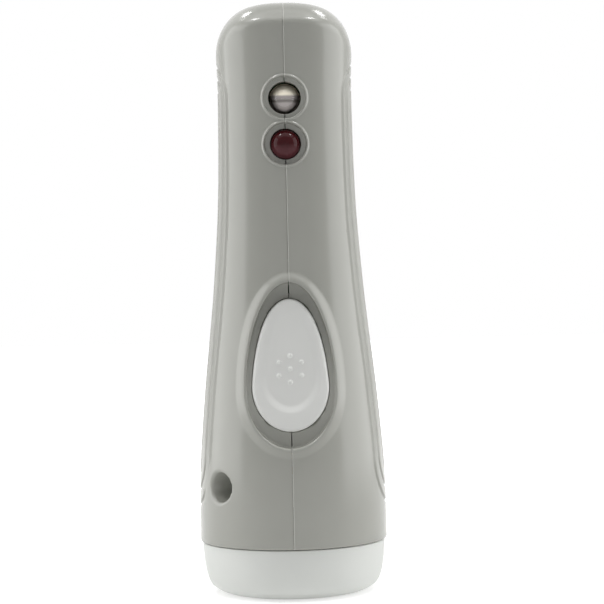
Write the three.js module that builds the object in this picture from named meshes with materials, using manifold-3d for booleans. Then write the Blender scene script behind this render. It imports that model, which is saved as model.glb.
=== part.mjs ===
// A hand crank flashlight that stands on its lamp head: two moulded half shells hold a gear train, a dynamo,
// rechargeable cells, a push switch, a lamp at the bottom and two indicator lamps near the tail.
// Millimetres. +Z points up to the tail, the thumb button faces -Y, and the crank lies on the back, at +Y.
import * as THREE from "three";
import { mergeVertices } from "three/addons/utils/BufferGeometryUtils.js";
import Module from "manifold-3d";

const wasm = await Module();
wasm.setup();

// Clearances that mating features share.
const partingGap = 0.2;
const seatGap = 0.3;
const runningGap = 0.15;
const overrun = 5;

// The body: a round head that narrows into a handle, with a domed tail cut to a crisp edge in front.
const bodyLength = 156;
const headRadius = 24.6;
const shellWall = 2;
const seamHeight = 13.5;
const bodyReach = headRadius + overrun;
const profileShares = [
  [0.0865, 0.994], [0.1, 1], [0.151, 0.998], [0.203, 0.99], [0.253, 0.974], [0.304, 0.946], [0.356, 0.917],
  [0.407, 0.88], [0.458, 0.844], [0.509, 0.811], [0.56, 0.786], [0.612, 0.76], [0.662, 0.743], [0.713, 0.733],
  [0.765, 0.727], [0.816, 0.7245], [0.845, 0.7205], [0.876, 0.7205], [0.893, 0.7285], [0.9115, 0.736],
  [1, 0.736],
];
const stationShares = [0.1, 0.203, 0.304, 0.407, 0.509, 0.637, 0.765, 0.872, 0.893];
const innerStationShares = [0.18, 0.33, 0.509, 0.68, 0.872];
const depthShares = [[0.15, 1], [0.6, 0.975], [1, 0.965]];
const squarenessShares = [[0.15, 1], [0.7, 1.09], [1, 1.09]];
const sectionSides = 28;
const innerSides = 16;
const tailBendSteps = 3;
const innerBendSteps = 2;
const tailDomeRadius = 28;
const tailDomeSetback = 3;
const tailEdgeFront = 0.8;
const tailEdgeSide = 7;
const tailRingShares = [0.62, 0.3];

// The head ring steps in from the body, and the neck that it hides holds the lens stack.
const ringStep = 0.7;
const ringRadius = headRadius - ringStep;
const ringTaper = 1;
const ringFaceRadius = ringRadius - ringTaper;
const ringWall = 2.4;
const neckWall = 1.6;
const neckOuterRadius = ringRadius - ringWall - seatGap;
const neckInnerRadius = neckOuterRadius - neckWall;
const neckEnd = 6.4;
const ringLedge = 3;
const ringOpening = neckOuterRadius - ringLedge;
const ringRim = 1.2;
const ringRimRadius = ringOpening + ringRim;

// Grip loops: nested grooves on both flanks. Half widths are shares of the head's radius, and ends of the length.
const gripGrooveWidth = 0.8;
const gripGrooveDepth = 0.55;
const gripLoopShares = [
  { handleHalf: 0.179, headHalf: 0.1585, top: 0.85, bottom: 0.1987 },
  { handleHalf: 0.305, headHalf: 0.3495, top: 0.8705, bottom: 0.1731 },
  { handleHalf: 0.4025, headHalf: 0.4715, top: 0.891, bottom: 0.1474 },
];
const gripLoops = gripLoopShares.map((shares) => ({
  handleHalf: headRadius * shares.handleHalf,
  headHalf: headRadius * shares.headHalf,
  top: bodyLength * shares.top,
  bottom: bodyLength * shares.bottom,
}));
const gripArcSteps = 5;

// The thumb button and the egg-shaped well with its raised lip.
const buttonWidth = 19.7;
const buttonLength = 33.8;
const buttonCentre = 60.2;
const buttonTravel = 1.8;
const buttonSkirt = 1.4;
const buttonFlangeThickness = 1.3;
const buttonProud = 0.2;
const buttonDishSteps = 3;
const buttonDishCentreShare = 0.45;
const buttonDishDepth = 1;
const buttonRim = 1.9;
const buttonStemRadius = 3;
const buttonDots = 6;
const buttonDotRing = 3.4;
const buttonDotRadius = 0.6;
const buttonDotRise = 0.35;
const wellWidth = 22.2;
const wellLength = 42.2;
const wellFloor = -16.8;
const wellFloorThickness = 1.6;
const lipWidth = 26.2;
const lipLength = 46.2;
const lipRise = 0.7;
const lipShoulderRise = 0.35;
const lipShoulderInset = 1.1;
const eggLowerShare = 0.34;
const eggSteps = 24;

// The two lamps in the handle, in round spot faces.
const lampRadius = 4;
const lampFlangeRadius = 4.6;
const lampFlangeThickness = 1;
const lampLegLength = 1.6;
const lampLegWidth = 0.5;
const lampLegSpacing = 2.54;
const domeSteps = 3;
const clearLampDrop = 27.2;
const lampSpacing = 11.9;
const clearLampHeight = bodyLength - clearLampDrop;
const redLampHeight = clearLampHeight - lampSpacing;
const redLampTip = -18.2;
const clearLampTip = -16.9;
const spotRadius = 5.7;
const spotFloor = -16.1;
const spotBossDepth = 3;

// The land on the back that the crank turns over: a flat cut, tilted to follow the taper of the back.
const crankHeight = 66;
const landDepth = 4;
const landRadius = 46;
const backTilt = Math.atan(0.0787);

// The crank arm with its folding knob.
const armClearance = 0.5;
const armThickness = 5;
const armHubRadius = 9.5;
const armHubRise = 1;
const armTipRadius = 8.3;
const armTipCentre = 35.2;
const armChamfer = 0.8;
const armPocketHalf = 5.7;
const armPocketStart = 11.4;
const armPocketCorner = 1.2;
const armPocketEnd = 39.4;
const armScrewRecessRadius = 3.8;
const armScrewRecessDepth = 2.6;
const armScrewWeb = 1.2;
const knobRadius = 4.8;
const knobLength = 19;
const knobHinge = 36;
const knobRise = 5.2;
const knobFlutes = 10;
const knobFluteDepth = 0.45;
const knobFlutePoints = 3;
const knobBoreRadius = 1.9;
const knobCounterRadius = 3.3;
const knobCounterDepth = 2.1;
const spindleRadius = 1.5;
const spindleHeadRadius = 2.8;
const spindleHeadLength = 1.5;
const pivotBarrelRadius = 2.7;
const pivotHalfWidth = 5.2;
const pivotLength = 3.4;
const hingePinRadius = 1.2;

// The drive shaft, its bush in the back wall and its screw.
const shaftRadius = 2.5;
const hexRadius = 2.4;
const bushRadius = 4.4;
const bushFlangeRadius = 6;
const bushFlangeThickness = 0.9;
const screwShankRadius = 1.2;
const screwHeadRadius = 3.1;
const screwHeadThickness = 1.7;
const crankScrewLength = 8;

// The gearbox: two plates on four posts, three layers of gears between them.
const plateThickness = 1.5;
const plateStandoff = 1.3;
const plateCorner = 2.7;
const plateTopHalf = 8;
const plateTopRow = 13;
const plateBottomHalf = 9.5;
const plateBottomRow = -32.5;
const postRadius = 1.4;
const layerGap = 0.5;
const crankLayer = 3;
const middleLayer = 2.5;
const pinRadius = 1;
const hubRadius = 2;
const hubWall = 2;
const toothRootShare = 1.2;
const wheelTipShare = 0.75;
const pinionTipShare = 1.0;
const backlash = 0.16;
const pressureAngle = THREE.MathUtils.degToRad(20);
const crankModule = 0.8;
const crankTeeth = 30;
const firstPinionTeeth = 10;
const firstModule = 0.7;
const firstTeeth = 30;
const secondPinionTeeth = 10;
const secondModule = 0.6;
const secondTeeth = 32;
const rotorPinionTeeth = 9;
const firstOffset = 6;
const secondOffset = -7;
const wheelHoles = 5;

// The dynamo: a ring magnet inside two cups of claw poles, with the coil around the claws.
const statorRadius = 11.8;
const statorSheet = 0.8;
const statorLength = 9;
const statorBore = 7.2;
const clawPairs = 6;
const clawLength = 5.6;
const clawArcShare = 0.74;
const magnetRadius = 6.6;
const magnetLength = 5.8;
const bobbinWall = 0.6;
const rotorShaftRadius = 0.9;
const rotorBushRadius = 2.9;
const rotorPinionLength = 2.4;

// Boards, cells and the lamp stack in the head.
const boardThickness = 1.5;
const mainBoardFace = -5.6;
const mainBoardHalf = 12;
const mainBoardBottom = 49;
const mainBoardTop = 84;
const railWidth = 1.2;
const railBite = 1.2;
const switchSize = 8.4;
const switchDepth = 5.2;
const plungerSize = 3.2;
const plungerLength = 2.2;
const switchCollarSize = 5.4;
const switchCollarDepth = 1;
const capacitorRadius = 1.9;
const capacitorLength = 6;
const capacitorDrop = 17;
const capacitorCrown = 0.3;
const chipLength = 5;
const chipWidth = 4;
const chipThickness = 1.5;
const cellRadius = 7.7;
const cellLength = 6;
const cellCount = 3;
const cellBottom = 87.5;
const cellOffset = -1;
const cellButtonRadius = 4;
const cellButtonRise = 0.3;
const tabThickness = 0.4;
const tabRadius = 5;
const bulkhead = 1.2;
const bulkheadNotch = 4;
const tailBoardFace = -7.6;
const tailBoardHalf = 8;
const tailBoardLength = 26.5;
const tailBoardRise = 8.7;
const tailBoardTop = clearLampHeight + tailBoardRise;
const tailBoardBottom = tailBoardTop - tailBoardLength;
const ringFilletTop = 4;
const ringFilletInset = 0.4;
const ringLip = 1.7;
const lensThickness = 1.8;
const sealThickness = 0.8;
const sealWidth = 2;
const reflectorInset = 0.4;
const reflectorRadius = ringOpening - reflectorInset;
const reflectorFloorRadius = 9.8;
const reflectorDepth = 9;
const reflectorWall = 0.9;
const lampBoardInset = 2.8;
const lampBoardRadius = reflectorRadius - lampBoardInset;
const lampCount = 3;
const lampRing = 5.6;
const smallLampRadius = 2.5;
const smallLampLength = 7.6;
const smallLampRim = 0.5;
const smallLampCrownShare = 0.7;

// Case screws along X: the lower front one shows from the front, the others sit on the back flank.
const caseScrewRecess = 3.7;
const caseScrewSeat = 10;
const caseScrewBoss = 4.9;
const caseScrewPilotBoss = 3.4;
const caseScrewHead = 2.9;
const caseScrewHeadThickness = 1.8;
const caseScrewShank = 1.3;
const caseScrewLength = 16;
const caseScrewPilotDepth = 7.5;
const screwCrownShare = 0.6;
const screwSlotShare = 0.55;
const caseScrewInset = 11.4;
const frontScrewRise = 15.2;
const backScrewRise = 10.5;
const tailScrewDepth = 8.5;
const tailScrewDrop = 12;
const caseScrews = [
  { y: caseScrewInset - headRadius, z: seamHeight + frontScrewRise },
  { y: headRadius - caseScrewInset, z: seamHeight + backScrewRise },
  { y: tailScrewDepth, z: bodyLength - tailScrewDrop },
];

// Round counts, kept low: larger rounds get more sides.
const hexSides = 6;
const tinySides = 8;
const smallSides = 10;
const mediumSides = 16;
const largeSides = 28;
const filletSteps = 3;
const bowlSteps = 3;

function finish(color, roughness, metalness) {
  return new THREE.MeshStandardMaterial({ color, roughness, metalness });
}
const plastic = (color, roughness = 0.35) => finish(color, roughness, 0);
const metal = (color, roughness = 0.3) => finish(color, roughness, 1);
const bodyColour = 0xa6a79f;
const whiteColour = 0xd2d3ce;
const blackColour = 0x26272a;

// Frames: local Z points out of the front, along +X, or out of the tilted back land.
const frontFrame = new THREE.Matrix4().makeBasis(
  new THREE.Vector3(1, 0, 0),
  new THREE.Vector3(0, 0, 1),
  new THREE.Vector3(0, -1, 0),
);
const sideFrame = new THREE.Matrix4().makeBasis(
  new THREE.Vector3(0, 1, 0),
  new THREE.Vector3(0, 0, 1),
  new THREE.Vector3(1, 0, 0),
);
const crankOrigin = new THREE.Vector3(0, halfDepthAt(crankHeight) - landDepth, crankHeight);
const crankFrame = new THREE.Matrix4()
  .makeBasis(
    new THREE.Vector3(-1, 0, 0),
    new THREE.Vector3(0, -Math.sin(backTilt), Math.cos(backTilt)),
    new THREE.Vector3(0, Math.cos(backTilt), Math.sin(backTilt)),
  )
  .setPosition(crankOrigin);
const acrossFrame = new THREE.Matrix4().makeRotationY(Math.PI / 2);

// Solids and their joins.
function solidOf(geometry, frame) {
  const plain = geometry.clone();
  plain.deleteAttribute("normal");
  plain.deleteAttribute("uv");
  if (frame) plain.applyMatrix4(frame);
  const merged = mergeVertices(plain, 1e-4);
  return new wasm.Manifold(
    new wasm.Mesh({
      numProp: 3,
      vertProperties: merged.getAttribute("position").array,
      triVerts: new Uint32Array(merged.index.array),
    }),
  );
}

function joined(solids) {
  return solids.reduce((whole, solid) => whole.add(solid));
}

function geometryOf(solid) {
  const mesh = solid.getMesh();
  const geometry = new THREE.BufferGeometry();
  geometry.setAttribute("position", new THREE.BufferAttribute(new Float32Array(mesh.vertProperties), 3));
  geometry.setIndex(new THREE.BufferAttribute(new Uint32Array(mesh.triVerts), 1));
  geometry.computeVertexNormals();
  return geometry;
}

function named(name, shape, material) {
  const mesh = new THREE.Mesh(shape.isBufferGeometry ? shape : geometryOf(shape), material);
  mesh.name = name;
  return mesh;
}

function atPlace(x, y, z) {
  return new THREE.Matrix4().makeTranslation(x, y, z);
}

// A solid of revolution about Z from [radius, height] pairs that run counter-clockwise.
function turned(profile, sides, frame) {
  const points = profile.map(([radius, height]) => new THREE.Vector2(radius, height));
  const geometry = new THREE.LatheGeometry(points, sides).rotateX(Math.PI / 2);
  return solidOf(geometry, frame);
}

function drum(radius, low, high, sides, frame) {
  return turned([[0, low], [radius, low], [radius, high], [0, high]], sides, frame);
}

function tube(inner, outer, low, high, sides, frame) {
  return turned([[inner, low], [outer, low], [outer, high], [inner, high], [inner, low]], sides, frame);
}

function prism(shape, low, high, frame) {
  const geometry = new THREE.ExtrudeGeometry(shape, { depth: high - low, bevelEnabled: false });
  geometry.translate(0, 0, low);
  return solidOf(geometry, frame);
}

function blockBetween(low, high, frame) {
  const [dx, dy, dz] = high.map((value, i) => value - low[i]);
  const geometry = new THREE.BoxGeometry(dx, dy, dz);
  geometry.translate(low[0] + dx / 2, low[1] + dy / 2, low[2] + dz / 2);
  return solidOf(geometry, frame);
}

function circlePath(radius, steps, x = 0, y = 0) {
  const points = [];
  for (let i = 0; i < steps; i += 1) {
    const angle = (2 * Math.PI * i) / steps;
    points.push(new THREE.Vector2(x + radius * Math.cos(angle), y + radius * Math.sin(angle)));
  }
  return points;
}

// Linear reading of a table of [share, value share] rows.
function readShares(rows, share) {
  const last = rows.length - 1;
  if (share <= rows[0][0]) return rows[0][1];
  if (share >= rows[last][0]) return rows[last][1];
  const next = rows.findIndex((row) => row[0] >= share);
  const [a, b] = [rows[next - 1], rows[next]];
  return a[1] + ((b[1] - a[1]) * (share - a[0])) / (b[0] - a[0]);
}

function halfWidthAt(z) {
  return headRadius * readShares(profileShares, z / bodyLength);
}

function halfDepthAt(z) {
  return halfWidthAt(z) * readShares(depthShares, z / bodyLength);
}

function sectionPoint(z, angle, offset) {
  const power = 1 / readShares(squarenessShares, z / bodyLength);
  const cos = Math.cos(angle);
  const sin = Math.sin(angle);
  return new THREE.Vector3(
    (halfWidthAt(z) + offset) * Math.sign(cos) * Math.abs(cos) ** power,
    (halfDepthAt(z) + offset) * Math.sign(sin) * Math.abs(sin) ** power,
    z,
  );
}

function tailHeight(x, y, offset) {
  const radius = tailDomeRadius + offset;
  const run = x * x + (y - tailDomeSetback) ** 2;
  return bodyLength - tailDomeRadius + Math.sqrt(Math.max(radius * radius - run, 0));
}

// Rings of the body surface, moved out or in by an offset: planar up the handle, then rolled over the tail.
function bodyRings(offset, bottom, sides = sectionSides, shares = stationShares, bendSteps = tailBendSteps) {
  const angles = Array.from({ length: sides }, (_, i) => (2 * Math.PI * i) / sides);
  const heights = shares.map((share) => share * bodyLength).filter((z) => z > bottom + shellWall / 4);
  const rings = [bottom, ...heights].map((z) => angles.map((angle) => sectionPoint(z, angle, offset)));
  const columns = angles.map((angle) => {
    const wall = sectionPoint(bodyLength, angle, offset);
    const frontness = Math.max(-Math.sin(angle), 0) ** 2;
    const edge = THREE.MathUtils.lerp(tailEdgeSide, tailEdgeFront, frontness);
    const corner = tailHeight(wall.x, wall.y, offset);
    const onDome = (share) =>
      new THREE.Vector3(wall.x * share, wall.y * share, tailHeight(wall.x * share, wall.y * share, offset));
    const start = new THREE.Vector3(wall.x, wall.y, corner - edge);
    const end = onDome(1 - edge / wall.clone().setZ(0).length());
    const bend = new THREE.QuadraticBezierCurve3(start, new THREE.Vector3(wall.x, wall.y, corner), end);
    return [...bend.getPoints(bendSteps), ...tailRingShares.map(onDome)];
  });
  columns[0].forEach((_, row) => rings.push(columns.map((column) => column[row])));
  return { rings, top: new THREE.Vector3(0, 0, tailHeight(0, 0, offset)) };
}

function loft({ rings, top }) {
  const sides = rings[0].length;
  const positions = [];
  const indices = [];
  rings.flat().forEach((point) => positions.push(...point.toArray()));
  const bottomIndex = positions.length / 3;
  positions.push(0, 0, rings[0][0].z);
  positions.push(...top.toArray());
  rings.slice(1).forEach((_, row) => {
    for (let i = 0; i < sides; i += 1) {
      const next = (i + 1) % sides;
      const [a, b] = [row * sides + i, row * sides + next];
      const [c, d] = [a + sides, b + sides];
      indices.push(a, b, d, a, d, c);
    }
  });
  const lastRow = (rings.length - 1) * sides;
  for (let i = 0; i < sides; i += 1) {
    const next = (i + 1) % sides;
    indices.push(bottomIndex, next, i);
    indices.push(bottomIndex + 1, lastRow + i, lastRow + next);
  }
  const geometry = new THREE.BufferGeometry();
  geometry.setAttribute("position", new THREE.Float32BufferAttribute(positions, 3));
  geometry.setIndex(indices);
  return solidOf(geometry);
}

// The body surface moved inwards, with fewer faces, for the cavity and for the floor of the grip grooves.
function innerLoft(offset, bottom) {
  return loft(bodyRings(offset, bottom, innerSides, innerStationShares, innerBendSteps));
}

// An egg outline with its widest place low down, in the front frame.
function eggShape(width, length, centre) {
  const lower = length * eggLowerShare;
  const widest = centre - length / 2 + lower;
  const points = [];
  for (let i = 0; i < eggSteps; i += 1) {
    const angle = (2 * Math.PI * i) / eggSteps;
    const radius = Math.sin(angle) > 0 ? length - lower : lower;
    points.push(new THREE.Vector2((width / 2) * Math.cos(angle), widest + radius * Math.sin(angle)));
  }
  return new THREE.Shape(points);
}

// One closed grip loop outline in the side frame, grown by an amount.
function gripOutline({ handleHalf, headHalf, top, bottom }, growth) {
  const points = [];
  const topHalf = handleHalf + growth;
  const bottomHalf = headHalf + growth;
  for (let i = 0; i <= gripArcSteps; i += 1) {
    const angle = (Math.PI * i) / gripArcSteps;
    const centre = top + growth - topHalf;
    points.push(new THREE.Vector2(topHalf * Math.cos(angle), centre + topHalf * Math.sin(angle)));
  }
  for (let i = 0; i <= gripArcSteps; i += 1) {
    const angle = Math.PI + (Math.PI * i) / gripArcSteps;
    const centre = bottom - growth + bottomHalf;
    points.push(new THREE.Vector2(bottomHalf * Math.cos(angle), centre + bottomHalf * Math.sin(angle)));
  }
  return points;
}

function gripCutter() {
  const rings = gripLoops.map((loop) => {
    const shape = new THREE.Shape(gripOutline(loop, gripGrooveWidth / 2));
    shape.holes.push(new THREE.Path(gripOutline(loop, -gripGrooveWidth / 2)));
    return prism(shape, -headRadius - overrun, headRadius + overrun, sideFrame);
  });
  const floor = innerLoft(-gripGrooveDepth, seamHeight - runningGap);
  return joined(rings).subtract(floor);
}

// Gear outline: involute flanks in a few steps, thinned by half the backlash.
function gearShape(teeth, module, tipShare, flankSteps, phase) {
  const pitch = (teeth * module) / 2;
  const base = pitch * Math.cos(pressureAngle);
  const root = pitch - toothRootShare * module;
  const tip = pitch + tipShare * module;
  const involute = (angle) => Math.tan(angle) - angle;
  const halfAngleAt = (radius) => {
    const lean = radius > base ? Math.acos(base / radius) : 0;
    const atPitch = Math.PI / (2 * teeth) - backlash / (2 * pitch);
    return atPitch + involute(pressureAngle) - involute(lean);
  };
  const points = [];
  const addPoint = (radius, angle) => {
    points.push(new THREE.Vector2(radius * Math.cos(angle), radius * Math.sin(angle)));
  };
  for (let tooth = 0; tooth < teeth; tooth += 1) {
    const middle = phase + (2 * Math.PI * tooth) / teeth;
    const radii = [root];
    const start = Math.max(base, root + module / 4);
    for (let step = 0; step < flankSteps; step += 1) {
      radii.push(start + ((tip - start) * step) / flankSteps);
    }
    radii.push(tip);
    radii.forEach((radius) => addPoint(radius, middle - halfAngleAt(radius)));
    radii.reverse().forEach((radius) => addPoint(radius, middle + halfAngleAt(radius)));
  }
  return new THREE.Shape(points);
}

// Gear centres in the crank frame, each at its working distance from the one that drives it.
function meshedCentre(from, distance, x) {
  const drop = Math.sqrt(distance ** 2 - (x - from.x) ** 2);
  return new THREE.Vector2(x, from.y - drop);
}
const crankCentre = new THREE.Vector2(0, 0);
const crankDistance = ((crankTeeth + firstPinionTeeth) * crankModule) / 2;
const firstDistance = ((firstTeeth + secondPinionTeeth) * firstModule) / 2;
const secondDistance = ((secondTeeth + rotorPinionTeeth) * secondModule) / 2;
const firstCentre = meshedCentre(crankCentre, crankDistance, firstOffset);
const secondCentre = meshedCentre(firstCentre, firstDistance, secondOffset);
const rotorCentre = meshedCentre(secondCentre, secondDistance, crankCentre.x);
const bearing = (from, to) => Math.atan2(to.y - from.y, to.x - from.x);
const gapPhase = (from, to, teeth) => bearing(from, to) + Math.PI + Math.PI / teeth;

// Layer heights in the crank frame, from the land inwards.
const rearPlateTop = -shellWall - plateStandoff;
const rearPlateBottom = rearPlateTop - plateThickness;
const crankLayerTop = rearPlateBottom - layerGap;
const crankLayerBottom = crankLayerTop - crankLayer;
const firstLayerTop = crankLayerBottom - layerGap;
const firstLayerBottom = firstLayerTop - middleLayer;
const secondLayerTop = firstLayerBottom - layerGap;
const secondLayerBottom = secondLayerTop - middleLayer;
const frontPlateTop = secondLayerBottom - layerGap;
const frontPlateBottom = frontPlateTop - plateThickness;
const statorTop = frontPlateBottom - seatGap;
const statorBottom = statorTop - statorLength;
const armBottom = armClearance;
const armTop = armBottom + armThickness;

function plateOutline() {
  const corners = [
    [plateTopHalf, plateTopRow],
    [-plateTopHalf, plateTopRow],
    [-plateBottomHalf, plateBottomRow],
    [plateBottomHalf, plateBottomRow],
  ];
  const points = [];
  const steps = tinySides / 2;
  corners.forEach(([x, y], corner) => {
    for (let i = 0; i < steps; i += 1) {
      const angle = (Math.PI / 2) * (corner + i / (steps - 1));
      points.push(new THREE.Vector2(x + plateCorner * Math.cos(angle), y + plateCorner * Math.sin(angle)));
    }
  });
  return { outline: points, corners };
}

// What stays solid inside the cavity: ribs, and walls round the well, the lamps, the land and the screws.
function keptInside() {
  const eggBlock = eggShape(wellWidth + 2 * shellWall, wellLength + 2 * shellWall, buttonCentre);
  const kept = [
    drum(landRadius + shellWall, -shellWall, bodyReach, largeSides, crankFrame),
    prism(eggBlock, -wellFloor - wellFloorThickness, bodyReach, frontFrame),
  ];
  [redLampHeight, clearLampHeight].forEach((height) => {
    const frame = frontFrame.clone().multiply(atPlace(0, height, 0));
    kept.push(drum(spotRadius + shellWall / 2, -spotFloor - spotBossDepth, bodyReach, mediumSides, frame));
  });
  caseScrews.forEach(({ y, z }) => {
    const frame = sideFrame.clone().multiply(atPlace(y, z, 0));
    kept.push(drum(caseScrewBoss, -bodyReach, -partingGap / 2, smallSides, frame));
    kept.push(drum(caseScrewPilotBoss, -partingGap, bodyReach, smallSides, frame));
  });
  const cellsTop = cellBottom + cellCount * cellLength;
  const cradles = [cellBottom + cellLength, cellsTop - cellLength];
  cradles.forEach((z) => kept.push(cellCradle(z)));
  const lowerEnd = cellBottom - tabThickness - runningGap - bulkhead;
  const upperEnd = cellsTop + tabThickness + 2 * runningGap;
  [lowerEnd, upperEnd].forEach((z) => kept.push(cellEnd(z)));
  kept.push(...boardRails(mainBoardFace, mainBoardHalf, mainBoardBottom, mainBoardTop));
  kept.push(...boardRails(tailBoardFace, tailBoardHalf, tailBoardBottom, tailBoardTop));
  kept.push(...gearboxShelves());
  return joined(kept);
}

function cellCradle(z) {
  const plate = blockBetween(
    [-headRadius, -headRadius, z - bulkhead / 2],
    [headRadius, headRadius, z + bulkhead / 2],
  );
  const cellPlace = atPlace(0, cellOffset, 0);
  const opening = drum(cellRadius + seatGap, z - overrun, z + overrun, mediumSides, cellPlace);
  return plate.subtract(opening);
}

function cellEnd(z) {
  const plate = blockBetween([-headRadius, -headRadius, z], [headRadius, headRadius, z + bulkhead]);
  const notchFront = cellOffset - cellRadius;
  const notch = blockBetween(
    [-bulkheadNotch, -headRadius, z - overrun],
    [bulkheadNotch, notchFront + bulkheadNotch / 2, z + bulkhead + overrun],
  );
  return plate.subtract(notch);
}

function boardRails(face, half, bottom, top) {
  const rails = [];
  [-1, 1].forEach((side) => {
    const inner = side * (half - railBite);
    const outer = side * headRadius;
    const [left, right] = side < 0 ? [outer, inner] : [inner, outer];
    const backFace = face + boardThickness + seatGap / 2;
    const frontFace = face - seatGap / 2;
    rails.push(blockBetween([left, backFace, bottom], [right, backFace + railWidth, top]));
    rails.push(blockBetween([left, frontFace - railWidth, bottom], [right, frontFace, top]));
    const edge = side * (half + seatGap / 2);
    const [edgeLeft, edgeRight] = side < 0 ? [outer, edge] : [edge, outer];
    [bottom, top - railWidth].forEach((z) => {
      const low = [edgeLeft, frontFace - railWidth, z];
      rails.push(blockBetween(low, [edgeRight, backFace + railWidth, z + railWidth]));
    });
  });
  return rails;
}

// Shelves that carry the gearbox: a lug behind each post, and one under each upper corner of the front plate.
function gearboxShelves() {
  const shelves = plateOutline().corners.map(([x, y]) => {
    const frame = crankFrame.clone().multiply(atPlace(x, y, 0));
    return drum(postRadius + shellWall / 2, rearPlateTop + seatGap / 2, 0, tinySides, frame);
  });
  [-1, 1].forEach((side) => {
    const inner = side * (plateTopHalf - railBite);
    const outer = side * headRadius;
    const [left, right] = side < 0 ? [outer, inner] : [inner, outer];
    const shelfTop = frontPlateBottom - seatGap / 2;
    const low = [left, plateTopRow - postRadius, shelfTop - shellWall];
    shelves.push(blockBetween(low, [right, plateTopRow + plateCorner, shelfTop], crankFrame));
  });
  return shelves;
}

function shellCuts() {
  const cuts = [
    prism(eggShape(wellWidth, wellLength, buttonCentre), -wellFloor, bodyReach, frontFrame),
    prism(
      eggShape(buttonWidth + 2 * seatGap, buttonLength + 2 * seatGap, buttonCentre),
      -wellFloor - wellFloorThickness - overrun,
      bodyReach,
      frontFrame,
    ),
    drum(bushRadius + runningGap, -shellWall - overrun, bodyReach, mediumSides, crankFrame),
  ];
  [redLampHeight, clearLampHeight].forEach((height) => {
    const frame = frontFrame.clone().multiply(atPlace(0, height, 0));
    cuts.push(drum(spotRadius, -spotFloor, bodyReach, mediumSides, frame));
    const holeLow = -spotFloor - spotBossDepth - overrun;
    cuts.push(drum(lampRadius + seatGap, holeLow, bodyReach, mediumSides, frame));
  });
  caseScrews.forEach(({ y, z }) => {
    const frame = sideFrame.clone().multiply(atPlace(y, z, 0));
    cuts.push(drum(caseScrewRecess, -bodyReach, -caseScrewSeat, smallSides, frame));
    cuts.push(drum(caseScrewShank + seatGap, -bodyReach, partingGap, tinySides, frame));
    cuts.push(drum(caseScrewShank + runningGap, 0, caseScrewPilotDepth, tinySides, frame));
  });
  return joined(cuts);
}

function shellSolid() {
  const lipBody = loft(bodyRings(lipRise, seamHeight));
  const shoulderBody = loft(bodyRings(lipShoulderRise, seamHeight));
  const lip = prism(
    eggShape(lipWidth - 2 * lipShoulderInset, lipLength - 2 * lipShoulderInset, buttonCentre),
    0,
    bodyReach,
    frontFrame,
  ).intersect(lipBody);
  const lipEgg = eggShape(lipWidth, lipLength, buttonCentre);
  const shoulder = prism(lipEgg, 0, bodyReach, frontFrame).intersect(shoulderBody);
  const land = drum(landRadius, 0, bodyReach, largeSides, crankFrame);
  const neck = drum(neckOuterRadius, neckEnd, seamHeight + shellWall, largeSides);
  const neckBore = drum(neckInnerRadius, neckEnd - overrun, seamHeight + overrun, largeSides);
  const carved = loft(bodyRings(0, seamHeight)).subtract(land).subtract(gripCutter());
  const outer = joined([carved, lip, shoulder, neck]);
  const hollow = innerLoft(-shellWall, seamHeight + shellWall);
  const cavity = hollow.subtract(keptInside());
  return outer.subtract(cavity.add(neckBore)).subtract(shellCuts());
}

function addShells(group) {
  const shell = shellSolid();
  const far = bodyLength + overrun;
  const leftHalf = blockBetween([-far, -far, -far], [-partingGap / 2, far, far]);
  const rightHalf = blockBetween([partingGap / 2, -far, -far], [far, far, far]);
  group.add(named("left_shell", shell.intersect(leftHalf), plastic(bodyColour, 0.3)));
  group.add(named("right_shell", shell.intersect(rightHalf), plastic(bodyColour, 0.3)));
  caseScrews.forEach(({ y, z }, i) => {
    const tip = -caseScrewSeat - seatGap / 2 + caseScrewLength;
    const screw = panScrew(caseScrewHead, caseScrewHeadThickness, caseScrewShank, caseScrewLength);
    const mesh = named(`case_screw_${i + 1}`, screw, metal(0x9a9a98));
    mesh.applyMatrix4(sideFrame.clone().multiply(atPlace(y, z, tip)));
    group.add(mesh);
  });
}

// A pan head screw whose tip is at its origin and whose head is below, with a driver slot.
function panScrew(crownRadius, crownThickness, shankRadius, length) {
  const body = turned(
    [
      [0, -length - crownThickness],
      [crownRadius * screwCrownShare, -length - crownThickness],
      [crownRadius, -length - crownThickness / 2],
      [crownRadius, -length],
      [shankRadius, -length],
      [shankRadius, -shankRadius],
      [0, 0],
    ],
    smallSides,
  );
  const slotHalf = shankRadius / 3;
  const slotFloor = -length - crownThickness * screwSlotShare;
  const slot = blockBetween(
    [-crownRadius, -slotHalf, -length - 2 * crownThickness],
    [crownRadius, slotHalf, slotFloor],
  );
  return body.subtract(slot);
}

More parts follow.
